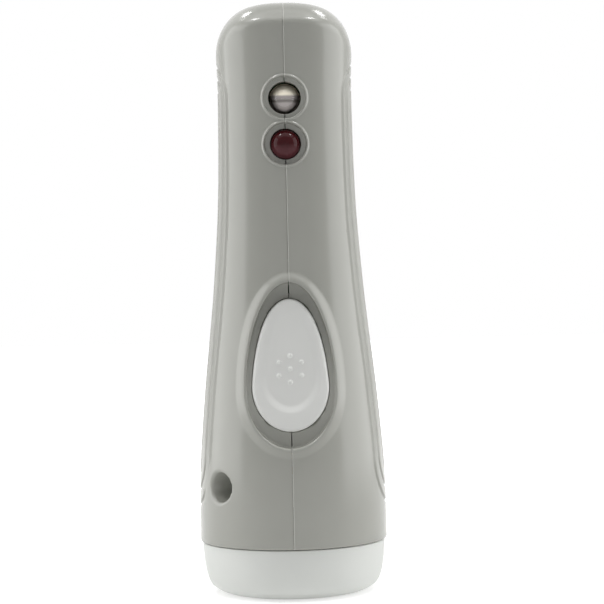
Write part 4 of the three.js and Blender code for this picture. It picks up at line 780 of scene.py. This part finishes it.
LOOKS = (
    (CLEAR, "lens"),
    (RUBBER, "lens_seal"),
    (CHROME, "reflector"),
    (GREEN, "lamp_board main_board tail_board"),
    (DOME_CLEAR, "lamp_led_1 lamp_led_2 lamp_led_3 clear_led"),
    (DOME_RED, "red_led"),
    (BLACK, "push_switch charge_chip"),
    (SLEEVE, "filter_capacitor"),
    (NICKEL, "battery_cell_1 battery_cell_2 battery_cell_3"),
    (STEEL, "cell_tab_lower cell_tab_upper gearbox_rear_plate gearbox_front_plate gear_pin_1 gear_pin_2 "
            "stator_front_cup stator_rear_cup rotor_shaft drive_shaft knob_hinge_pin knob_spindle"),
    (BRASS, "gearbox_post_1 gearbox_post_2 gearbox_post_3 gearbox_post_4 rotor_bush rotor_pinion shaft_bush"),
    (ACETAL_WHITE, "switch_plunger crank_gear compound_gear_2 coil_bobbin"),
    (ACETAL_GREY, "compound_gear_1"),
    (COPPER, "coil_winding"),
    (FERRITE, "rotor_magnet"),
    (BODY, "left_shell right_shell"),
    (WHITE, "head_ring"),
    (BUTTON, "thumb_button"),
    (SCREW, "case_screw_1 case_screw_2 case_screw_3 crank_screw"),
    (ARM, "crank_arm"),
    (KNOB_GREY, "knob_pivot crank_knob"),
)
for material, names in LOOKS:
    for name in names.split():
        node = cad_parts[name]
        node.data.materials.clear()
        node.data.materials.append(material)


def near_features(p):
    """The edge length wanted at each point in the first pass: at the grooves, the well and the rims."""
    x, y, z = p.T
    wanted = np.full(len(p), UNCUT)
    outer = bare_body(x, y, z) > -1.6
    fine = (
        outer & (GRIP_LINES(y, z) < 1.0),
        (y < WELL_FRONT) & (np.abs(WELL_EGG(x, z) - 0.8) < 2.2),
        (y < FRONT) & (z > 108) & (np.abs(x) < 7),
        (z > 141) & (y < -4) & outer,
        z < SEAM_HEIGHT + 1.6,
    )
    for chosen in fine:
        wanted[chosen] = FINE
    return wanted


def near_rims(p):
    """The edge length wanted in the second pass: at the beads, the grooves and the crown's front edge."""
    x, y, z = p.T
    wanted = np.full(len(p), UNCUT)
    outer = bare_body(x, y, z) > -1
    wanted[outer & (GRIP_LINES(y, z) < 0.6)] = FINER
    wanted[(y < WELL_FRONT) & (np.abs(WELL_EGG(x, z) - 0.2) < 0.9)] = FINER
    for height in LAMP_HEIGHTS:
        wanted[(y < FRONT) & (np.abs(np.hypot(x, z - height) - SPOT_RADIUS - 0.2) < 0.8)] = FINEST
    wanted[(np.abs(z - CROWN_HEIGHT + 0.5) < 1.6) & (y < FRONT) & outer] = FINER
    return wanted


def shell_halves():
    """Meshes both shells as one body and cuts it at the parting plane, with an edge loop for the bevel."""
    reach = HEAD_RADIUS + MARGIN
    low, high = (-reach, -reach, NECK_END - MARGIN), (reach, reach, BODY_LENGTH + MARGIN)
    whole = field_mesh("shells", shell_field, low, high, VOXEL, (near_features, near_rims))
    for side, name in ((-1, "left_shell"), (1, "right_shell")):
        bm = bmesh.new()
        bm.from_mesh(whole)
        for across, clear in ((PARTING_HALF_GAP, True), (PARTING_HALF_GAP + PARTING_BEVEL, False)):
            bmesh.ops.bisect_plane(
                bm, geom=bm.verts[:] + bm.edges[:] + bm.faces[:], dist=CUT_NEAR,
                plane_co=(side * across * MM, 0, 0), plane_no=(-side, 0, 0), clear_outer=clear)
        rim = [edge for edge in bm.edges if edge.is_boundary]
        bmesh.ops.triangle_fill(bm, use_beauty=True, edges=rim)
        bmesh.ops.recalc_face_normals(bm, faces=bm.faces)
        half = bpy.data.meshes.new(name + "_skin")
        bm.to_mesh(half)
        bm.free()
        open_parting(half, side)
        shade_by_field(half, shell_field, flat=near_parting(side))
        settled_in_frame(add_object(name + "_skin", half, BODY), "housing", (name,))


def near_parting(side):
    """Chooses the parting faces and the bevels along them, which are shaded flat."""
    def chosen(mesh):
        across = read_all(mesh.polygons, "center", 3)[:, 0] * side / MM
        return across < PARTING_HALF_GAP + PARTING_BEVEL * FLAT_SHARE
    return chosen


def open_parting(mesh, side):
    """One edge of the parting stands a hair proud, and both open into a slit in the recesses and the well."""
    points = mesh_points(mesh)
    x, y, z = points.T
    on_plane = np.abs(x - side * PARTING_HALF_GAP) < ON_PLANE
    deep = -bare_body(0 * x, y, z)
    outside = on_plane & (deep < SKIN_DEPTH) & (shell_field(x, y, z) > -SKIN_NEAR)
    slope = gradient_of(bare_body, points[outside])
    slope[:, 0] = 0
    slope /= np.linalg.norm(slope, axis=1)[:, None] + TINY
    calmer = np.clip((CALM_HEIGHT - z[outside]) / CALM_FADE, CALM_SHARE, 1)
    points[outside] += slope * calmer[:, None] * (PARTING_RISE if side > 0 else -PARTING_SINK)
    front = on_plane & (y < FRONT)
    slit = on_plane & (y < 0) & (deep > SLIT_DEPTH) | front & (WELL_EGG(x, z) < LIP_CREST)
    for height in LAMP_HEIGHTS:
        slit |= front & (np.abs(z - height) < SPOT_RADIUS)
    points[slit, 0] = side * PARTING_SLIT_HALF
    set_points(mesh, points)


shell_halves()

# The head ring, revolved, from its rounded foot to its upper edge at the seam.
RING_TOP = SEAM_HEIGHT - 0.15
RING = (
    (17.2, 0.3, 0), (17.4, 0, 0.15), (18, 0.12, 0), (18.9, 0.35, 0), (19.8, 0.7, 0), (20.7, 1.18, 0),
    (21.45, 1.74, 0), (22.05, 2.35, 0), (22.5, 3.15, 0), (22.88, 4.15, 0), (23.18, 5.2, 0), (23.45, 6.5, 0),
    (23.75, 8.5, 0), (24.15, RING_TOP, 0.35), (21.5, RING_TOP, 0), (21.5, 2.2, 0), (17.2, 1.9, 0.2),
)
revolved_piece("head_ring_skin", RING, 160, PLAIN, WHITE, "housing",
               ("head_ring",), crease=50)


# The thumb button: an egg with a raised rim round a scoop that fades upward, and seven dots.
BUTTON_PROUD = 0.2
BUTTON_FACE_SINK = 0.6
BUTTON_EDGE = 1.0
SCOOP_DEPTH = 1.0
SCOOP_WALL = 2.2
DOT_CENTRE = 59.2
DOT_RADIUS = 0.66
DOT_RISE = 0.3
DOT_RING = 3.35
DOT_EDGE = 0.16
DOTS_ROUND = 6
BUTTON_FRONT = -17
SCOOP_START = 0.35
FACE_BOW = 0.012
BUTTON_BACK = -13.6
FLANGE_REACH = 1.4
FLANGE_MIDDLE = -14.25
FLANGE_HALF = 0.65
STEM_RADIUS = 3
STEM_ENDS = (-14.9, -13.15)
button_bottom = BUTTON_CENTRE - BUTTON_LENGTH / 2
button_top = BUTTON_CENTRE + BUTTON_LENGTH / 2


def face_depth(z):
    """How far the button's face lies in front of the axis."""
    ends = [float(half_depth(end)) + BUTTON_PROUD for end in (button_bottom, button_top)]
    return ends[0] + (ends[1] - ends[0]) * (z - button_bottom) / BUTTON_LENGTH - BUTTON_FACE_SINK


def button_field(x, y, z):
    egg = BUTTON_EGG(x, z)
    t = np.clip(SCOOP_START - SCOOP_EGG(x, z) / SCOOP_WALL, 0, 1)
    fade = np.clip((button_top - z) / BUTTON_LENGTH, 0, 1)
    scoop = SCOOP_DEPTH * fade * t * t * (3 - 2 * t)
    bow = FACE_BOW * x * x
    dots = 0
    for i in range(DOTS_ROUND + 1):
        angle = math.pi / 2 + math.pi / 3 * i
        dx = DOT_RING * math.cos(angle) * (i < DOTS_ROUND)
        dz = DOT_RING * math.sin(angle) * (i < DOTS_ROUND)
        dot = ((x - dx) ** 2 + (z - DOT_CENTRE - dz) ** 2) / DOT_RADIUS ** 2
        dots = dots + DOT_RISE * np.clip(1 - dot, 0, 1)
    face = -y - face_depth(z) + scoop + bow - dots
    body = smooth_max(face, egg, BUTTON_EDGE)
    body = np.maximum(body, y - BUTTON_BACK)
    flange = np.maximum(egg - FLANGE_REACH, np.abs(y - FLANGE_MIDDLE) - FLANGE_HALF)
    stem = np.maximum(radial(x, z - BUTTON_CENTRE) - STEM_RADIUS,
                      np.maximum(STEM_ENDS[0] - y, y - STEM_ENDS[1]))
    return np.minimum(np.minimum(body, flange), stem)


def near_dots(p):
    """Short edges at the dots and at the button's rounded edge."""
    x, y, z = p.T
    wanted = np.full(len(p), UNCUT)
    face = y < BUTTON_FRONT
    wanted[(np.hypot(x, z - DOT_CENTRE) < DOT_RING + 1.2) & face] = DOT_EDGE
    wanted[(np.abs(BUTTON_EGG(x, z) + 0.6) < 0.7) & face] = FINEST
    return wanted


field_piece("thumb_button_skin", button_field, (-12, -26, button_bottom - 2.4), (12, -12.6, button_top + 2.4),
            0.27, PLAIN, BUTTON, "button", ("thumb_button",), passes=(near_dots,))


# The two lamps: a dome on a short barrel, with a flange at its end.
BARREL_END = -8.75
LAMP_FLANGE = 4.6
LAMP_FLANGE_HALF = 0.5


def lamp_field(tip):
    def field(x, y, z):
        radius = radial(x, z)
        ball = radial(radius, np.minimum(y - tip - LAMP_RADIUS, 0)) - LAMP_RADIUS
        body = np.maximum(ball, y - BARREL_END)
        rim = np.abs(y - BARREL_END - LAMP_FLANGE_HALF) - LAMP_FLANGE_HALF
        return smooth_min(body, smooth_max(radius - LAMP_FLANGE, rim, 0.3), 0.2)

    return field


for height, tip, name, material, slot in (
    (LAMP_HEIGHTS[0], LAMP_TIPS[0], "red_led", DOME_RED, "red_lens"),
    (LAMP_HEIGHTS[1], LAMP_TIPS[1], "clear_led", DOME_CLEAR, "clear_lens"),
):
    field_piece(name + "_dome", lamp_field(tip), (-5.4, tip - 0.8, -5.4), (5.4, -7, 5.4), 0.3,
                Matrix.Translation((0, 0, height)), material, "housing", (name,))

# The clear lamp's lead frame, a shallow bulging cup, over its base.
CUP_RADIUS = 2.2
CUP_RISE = 0.1
CUP_BACK = -10.9
BULGE_CENTRE = -9.2
BULGE_RADIUS = 3.3
BASE = ((0, 0, 0), (3.6, 0, 0.2), (3.6, 2.4, 0.2), (3.3, 2.4, 0.2), (3.3, 0.5, 0), (0, 0.5, 0))
BASE_DEPTH = -9.4


def cup_field(x, y, z):
    radius = radial(x, z - CUP_RISE)
    bulge = radial(radius, y - BULGE_CENTRE) - BULGE_RADIUS
    return smooth_max(radius - CUP_RADIUS, np.maximum(bulge, y - CUP_BACK), 0.3)


field_piece("clear_led_frame", cup_field, (-3, -13, -3), (3, -10.5, 3), 0.15,
            Matrix.Translation((0, 0, LAMP_HEIGHTS[1])), FRAME, "housing")
revolved_piece("clear_led_base", BASE, 64,
               Matrix.Translation((0, BASE_DEPTH, LAMP_HEIGHTS[1])) @ Matrix.Rotation(math.pi / 2, 4, "X"),
               LAMP_BASE, "housing")


# Screws: pan heads with a cross recess. Those of the case lie deep in the left flank.
DOME_REACH = 3.2
DOME_DROP = 2.2
PAN_EDGE = 0.5
SHANK_LAP = 0.2
POINT_SLOPE = 0.8
CROSS_NARROW = 5
CROSS_FLOOR = 0.35
SCREW_SINK = 0.15
SCREW_TURNS = (0.4, 1.3, 2.2)
CRANK_SCREW_SEAT = 4.05
CRANK_SCREW_TURN = 0.5


def screw_field(head_radius, head, shank_radius, length, recess):
    """A pan head screw along local Z: its seat at 0, its head above and its shank below."""
    def field(x, y, z):
        radius = radial(x, y)
        dome = radial(radius, z + head * DOME_DROP) - head * DOME_REACH
        pan = np.maximum(smooth_max(radius - head_radius, dome, PAN_EDGE), -z)
        shank = np.maximum(z - SHANK_LAP, -length - z + radius * POINT_SLOPE)
        body = np.minimum(pan, np.maximum(radius - shank_radius, shank))
        for a, b in ((x, y), (y, x)):
            slot = np.maximum(np.abs(b) - recess, head * CROSS_FLOOR - z)
            body = cut(body, np.maximum(np.abs(a) - recess / CROSS_NARROW, slot), SHARP)
        return body

    return field


for i, (screw_y, screw_z) in enumerate(SCREW_PLACES):
    name = "case_screw_%d" % (i + 1)
    seat = Matrix.Translation((SCREW_SEAT - SCREW_SINK, screw_y, screw_z))
    turn = Matrix.Rotation(-math.pi / 2, 4, "Y") @ Matrix.Rotation(SCREW_TURNS[i], 4, "Z")
    field_piece(name + "_skin", screw_field(2.9, 1.8, 1.3, 16, 1.7), (-3.4, -3.4, -16.6), (3.4, 3.4, 2.4),
                0.22, seat @ turn, SCREW, "housing", (name,))


# The crank arm: a hub and a tapered bar with a pocket for the knob.
ARM_LOW = 0.5
ARM_HIGH = 5.5
ARM_EDGE = 1.3
HUB_RADIUS = 9.5
HUB_RISE = 1
HUB_INSET = 0.6
HUB_EDGE = 1.2
HUB_BLEND = 0.8
TIP_RADIUS = 8.3
TIP_CENTRE = 35.2
POCKET_HALF = 5.7
POCKET_START = 11.4
POCKET_END = 39.4
POCKET_CORNER = 1.2
POCKET_EDGE = 0.9
SHAFT_HOLE = 2.7
SHAFT_HOLE_END = 2.75
RECESS_RADIUS = 3.8
RECESS_DEPTH = 2.6
RECESS_EDGE = 0.5
SCREW_CLEARANCE = 1.5

# The ears at the arm's end, and the hinge.
HINGE_UP = 36
HINGE_OUT = 5.2
BARREL_RADIUS = 2.7
PIN_HOLE = 1.35
PIN_HOLE_END = -7.6
PIN_HOLE_EDGE = 0.15
EAR_MIDDLE = 6.6
EAR_HALF = 0.9
EAR_EDGE = 0.5


def tapered_bar(u, v, start_radius, end_radius, length):
    """Distance in a plane to two circles and the tangents that join them."""
    slope = (start_radius - end_radius) / length
    across = math.sqrt(1 - slope * slope)
    a = np.abs(u)
    k = v * across - a * slope
    side = a * across + v * slope - start_radius
    start = radial(u, v) - start_radius
    end = radial(u, v - length) - end_radius
    return np.where(k < 0, start, np.where(k > length * across, end, side))


def arm_field(x, up, out):
    outline = tapered_bar(x, up, HUB_RADIUS, TIP_RADIUS, TIP_CENTRE)
    bar = smooth_max(outline, np.abs(out - (ARM_LOW + ARM_HIGH) / 2) - (ARM_HIGH - ARM_LOW) / 2, ARM_EDGE)
    radius = radial(x, up)
    faces = np.maximum(out - ARM_HIGH - HUB_RISE, -out + ARM_LOW + HUB_RISE)
    hub = smooth_max(radius - HUB_RADIUS + HUB_INSET, faces, HUB_EDGE)
    arm = smooth_min(bar, hub, HUB_BLEND)
    aside = np.abs(x) - POCKET_HALF + POCKET_CORNER
    along = np.maximum(POCKET_START - up + POCKET_CORNER, up - POCKET_END + POCKET_CORNER)
    reach = np.maximum(aside, along)
    corner = radial(np.maximum(aside, 0), np.maximum(along, 0))
    arm = cut(arm, np.where(reach > 0, corner, reach) - POCKET_CORNER, POCKET_EDGE)
    hole = np.maximum(radius - RECESS_RADIUS, ARM_HIGH + HUB_RISE - RECESS_DEPTH - out)
    return cut(arm, hole, RECESS_EDGE)


def arm_with_ears(x, up, out):
    """The arm with the ears that hold the hinge pin, and its holes."""
    hinge = radial(up - HINGE_UP, out - HINGE_OUT)
    ear = smooth_max(hinge - BARREL_RADIUS, np.abs(np.abs(x) - EAR_MIDDLE) - EAR_HALF, EAR_EDGE)
    arm = smooth_min(arm_field(x, up, out), ear, EAR_EDGE)
    arm = cut(arm, np.maximum(hinge - PIN_HOLE, PIN_HOLE_END - x), PIN_HOLE_EDGE)
    radius = radial(x, up)
    arm = np.maximum(arm, -np.maximum(radius - SHAFT_HOLE, out - SHAFT_HOLE_END))
    return np.maximum(arm, -(radius - SCREW_CLEARANCE))


field_piece("crank_arm_skin", arm_with_ears, (-10.4, -10.4, 0), (10.4, 44.4, 8.6), 0.36, CRANK, ARM, "crank",
            ("crank_arm",))
field_piece("crank_screw_skin", screw_field(3.1, 1.7, 1.2, 8, 1.8), (-3.6, -3.6, -8.6), (3.6, 3.6, 2.4), 0.22,
            CRANK @ Matrix.Translation((0, 0, CRANK_SCREW_SEAT)) @ Matrix.Rotation(CRANK_SCREW_TURN, 4, "Z"),
            SCREW, "crank", ("crank_screw",))

# The knob lies in the arm's pocket. Its own frame runs from the hinge towards the hub.
HINGE = CRANK @ Matrix.Translation((0, HINGE_UP, HINGE_OUT))
KNOB = HINGE @ Matrix.Rotation(math.pi / 2, 4, "X")
KNOB_RADIUS = 4.8
KNOB_LOW = 3.7
KNOB_HIGH = 22.7
KNOB_EDGE = 1.4
FLUTES = 10
FLUTE_DEPTH = 0.45
FLUTE_END = 0.8
FLUTE_FADE = 1.2
BORE_RADIUS = 1.9
COUNTER_RADIUS = 3.3
COUNTER_FLOOR = 20.6
PIVOT_HALF = 5.2
PIVOT_EDGE = 0.4
STUB_RADIUS = 4
STUB_ENDS = (0.8, 3.4)
SPINDLE_ROOT = 2.55


def knob_field(x, y, z):
    radius = radial(x, y)
    wave = 0.5 + 0.5 * np.cos(FLUTES * np.arctan2(y, x))
    ends = np.abs(z - (KNOB_LOW + KNOB_HIGH) / 2)
    half = (KNOB_HIGH - KNOB_LOW) / 2
    taper = np.clip((half - ends - FLUTE_END) / FLUTE_FADE, 0, 1)
    body = smooth_max(radius - KNOB_RADIUS + FLUTE_DEPTH * taper * wave ** 3, ends - half, KNOB_EDGE)
    body = cut(body, radius - BORE_RADIUS, 0.3)
    return cut(body, np.maximum(radius - COUNTER_RADIUS, COUNTER_FLOOR - z), 0.4)


def pivot_field(x, y, z):
    radius = radial(x, y)
    hinge = radial(y, z)
    sides = np.abs(x) - PIVOT_HALF
    barrel = smooth_max(hinge - BARREL_RADIUS, sides, PIVOT_EDGE)
    stub = np.maximum(radius - STUB_RADIUS, np.maximum(STUB_ENDS[0] - z, z - STUB_ENDS[1]))
    cheeks = smooth_max(stub, np.maximum(sides, np.abs(y) - BARREL_RADIUS), PIVOT_EDGE)
    body = np.maximum(smooth_min(barrel, cheeks, PIVOT_EDGE), -(hinge - PIN_HOLE))
    return np.maximum(body, -np.maximum(radius - PIN_HOLE, SPINDLE_ROOT - z))


field_piece("crank_knob_skin", knob_field, (-5.6, -5.6, 3), (5.6, 5.6, 23.4), 0.26, KNOB, KNOB_GREY,
            "knob", ("crank_knob",))
field_piece("knob_pivot_skin", pivot_field, (-5.9, -3.5, -3.5), (5.9, 3.5, 4.2), 0.26, KNOB, KNOB_GREY,
            "knob_hinge", ("knob_pivot",))
SPINDLE = (
    (0, 2.7, 0), (1.2, 2.7, 0.15), (1.2, 3.55, 0), (1.5, 3.55, 0), (1.5, 20.75, 0), (2.8, 20.75, 0.2),
    (2.8, 21.4, 0), (2.2, 21.95, 0), (1.3, 22.2, 0), (0, 22.25, 0),
)
revolved_piece("knob_spindle_skin", SPINDLE, 48, KNOB, STEEL, "knob_hinge",
               ("knob_spindle",))
PIN = ((0, -7.1, 0), (1.2, -7.1, 0.3), (1.2, 7.9, 0.4), (0, 7.9, 0))
revolved_piece("knob_hinge_pin_skin", PIN, 40, HINGE @ Matrix.Rotation(math.pi / 2, 4, "Y"),
               STEEL, "crank", ("knob_hinge_pin",))

# World and floor. The floor's two glows each go from one strength to another with the distance in metres.
FILL_COLOUR = (0.98, 0.99, 1.0, 1)
FILL_STRENGTH = 0.12
FLOOR_COLOUR = (0.7, 0.7, 0.7, 1)
FLOOR_ROUGHNESS = 0.9
FLOOR_REACH = 3000
FLOOR_LEVEL = -0.02
FLOOR_SHOWN = ((0.1, 0.6), (0.46, 1.0))
FLOOR_POOL = ((0.06, 0.15), (0.26, 0.0))


def of_kind(tree, *rays):
    """1 for a ray of any of the named kinds."""
    kinds = tree.nodes.new("ShaderNodeLightPath").outputs
    share = kinds[rays[0]]
    for ray in rays[1:]:
        share = computed(tree, "MAXIMUM", share, kinds[ray])
    return share


def light_path_world():
    """White to the camera, in reflections and through clear pieces, and a dim fill light otherwise."""
    world = bpy.data.worlds.new("studio")
    world.use_nodes = True
    tree = world.node_tree
    shown = tree.nodes["Background"]
    fill_in(tree, shown, {"Color": (1, 1, 1, 1), "Strength": 1.0})
    fill = add_node(tree, "Background", {"Color": FILL_COLOUR, "Strength": FILL_STRENGTH})
    share = of_kind(tree, "Is Camera Ray", "Is Glossy Ray", "Is Transmission Ray")
    both = mixed(tree, share, fill.outputs[0], shown.outputs[0])
    fill_in(tree, tree.nodes["World Output"], {"Surface": both})
    bpy.context.scene.world = world


def floor_material():
    """A white floor that glows to the camera and in reflections, and in a pool that lights the object."""
    material, tree, shader = new_material("floor_white")
    fill_in(tree, shader, {"Base Color": FLOOR_COLOUR, "Roughness": FLOOR_ROUGHNESS})
    place = tree.nodes.new("ShaderNodeTexCoord").outputs["Object"]
    away = add_node(tree, "VectorMath", {0: place}, operation="LENGTH").outputs["Value"]
    pool, shown = (
        add_node(tree, "Emission", {"Strength": ranged(tree, away, source, result)}).outputs[0]
        for source, result in (FLOOR_POOL, FLOOR_SHOWN))
    seen = of_kind(tree, "Is Camera Ray", "Is Glossy Ray")
    both = add_node(tree, "AddShader", {0: shader.outputs[0], 1: mixed(tree, seen, pool, shown)})
    fill_in(tree, tree.nodes["Material Output"], {"Surface": both.outputs[0]})
    return material


# Area lights: name, place, aim, width and height in millimetres, and watts.
AREAS = (
    ("left_softbox", (-680, 10, 160), (0, 0, 80), (700, 900), 4.3),
    ("right_softbox", (680, 10, 160), (0, 0, 80), (700, 900), 4.3),
    ("top_softbox", (0, -160, 900), (0, 0, 100), (1500, 600), 3.5),
    ("lamp_up_left", (-316, -50, 740), (0, 0, 117), (100, 100), 0.8),
    ("lamp_up_right", (316, -50, 740), (0, 0, 117), (100, 100), 0.8),
    ("lamp_back_left", (-350, 390, 742), (0, 0, 150), (90, 90), 0.6),
    ("lamp_back_right", (350, 390, 742), (0, 0, 150), (110, 110), 0.7),
    ("front_softbox", (0, -1100, 150), (0, 0, 60), (900, 400), 0.25),
)


def add_area(name, place, aim, size, watts):
    lamp = bpy.data.lights.new(name, "AREA")
    lamp.shape = "RECTANGLE"
    lamp.size, lamp.size_y = size[0] * MM, size[1] * MM
    lamp.energy = watts
    holder = bpy.data.objects.new(name, lamp)
    holder.location = Vector(place) * MM
    toward = Vector(aim) - Vector(place)
    holder.rotation_euler = toward.to_track_quat("-Z", "Y").to_euler()
    link(holder)


# The camera, fitted to the photo. The width and the focal length are in pixels of the photo.
PHOTO_WIDTH = 604
FOCAL_LENGTH = 1800
SENSOR_WIDTH = 36
CAMERA_DISTANCE = 479
CAMERA_ASIDE = 3.48
CAMERA_HEIGHT = 76.2
CAMERA_YAW = math.radians(0.35)
CAMERA_ROLL = math.radians(1.24)


def add_camera():
    data = bpy.data.cameras.new("camera")
    data.sensor_width = SENSOR_WIDTH
    data.lens = FOCAL_LENGTH / PHOTO_WIDTH * SENSOR_WIDTH
    camera = bpy.data.objects.new("camera", data)
    across = CAMERA_ASIDE - CAMERA_DISTANCE * math.sin(CAMERA_YAW)
    camera.location = Vector((across, -CAMERA_DISTANCE * math.cos(CAMERA_YAW), CAMERA_HEIGHT)) * MM
    turns = ((-CAMERA_YAW, "Z"), (math.pi / 2, "X"), (-CAMERA_ROLL, "Z"))
    yaw, level, roll = (Matrix.Rotation(angle, 3, axis) for angle, axis in turns)
    camera.rotation_euler = (yaw @ level @ roll).to_euler()
    link(camera)
    bpy.context.scene.camera = camera


light_path_world()
ends = (-FLOOR_REACH, FLOOR_REACH)
corners = [(x, y, FLOOR_LEVEL) for x in ends for y in ends]
floor = add_object("floor", new_mesh("floor", corners, [(0, 2, 3, 1)]), floor_material())
for area in AREAS:
    add_area(*area)
add_camera()
bpy.context.scene.view_settings.view_transform = "Standard"
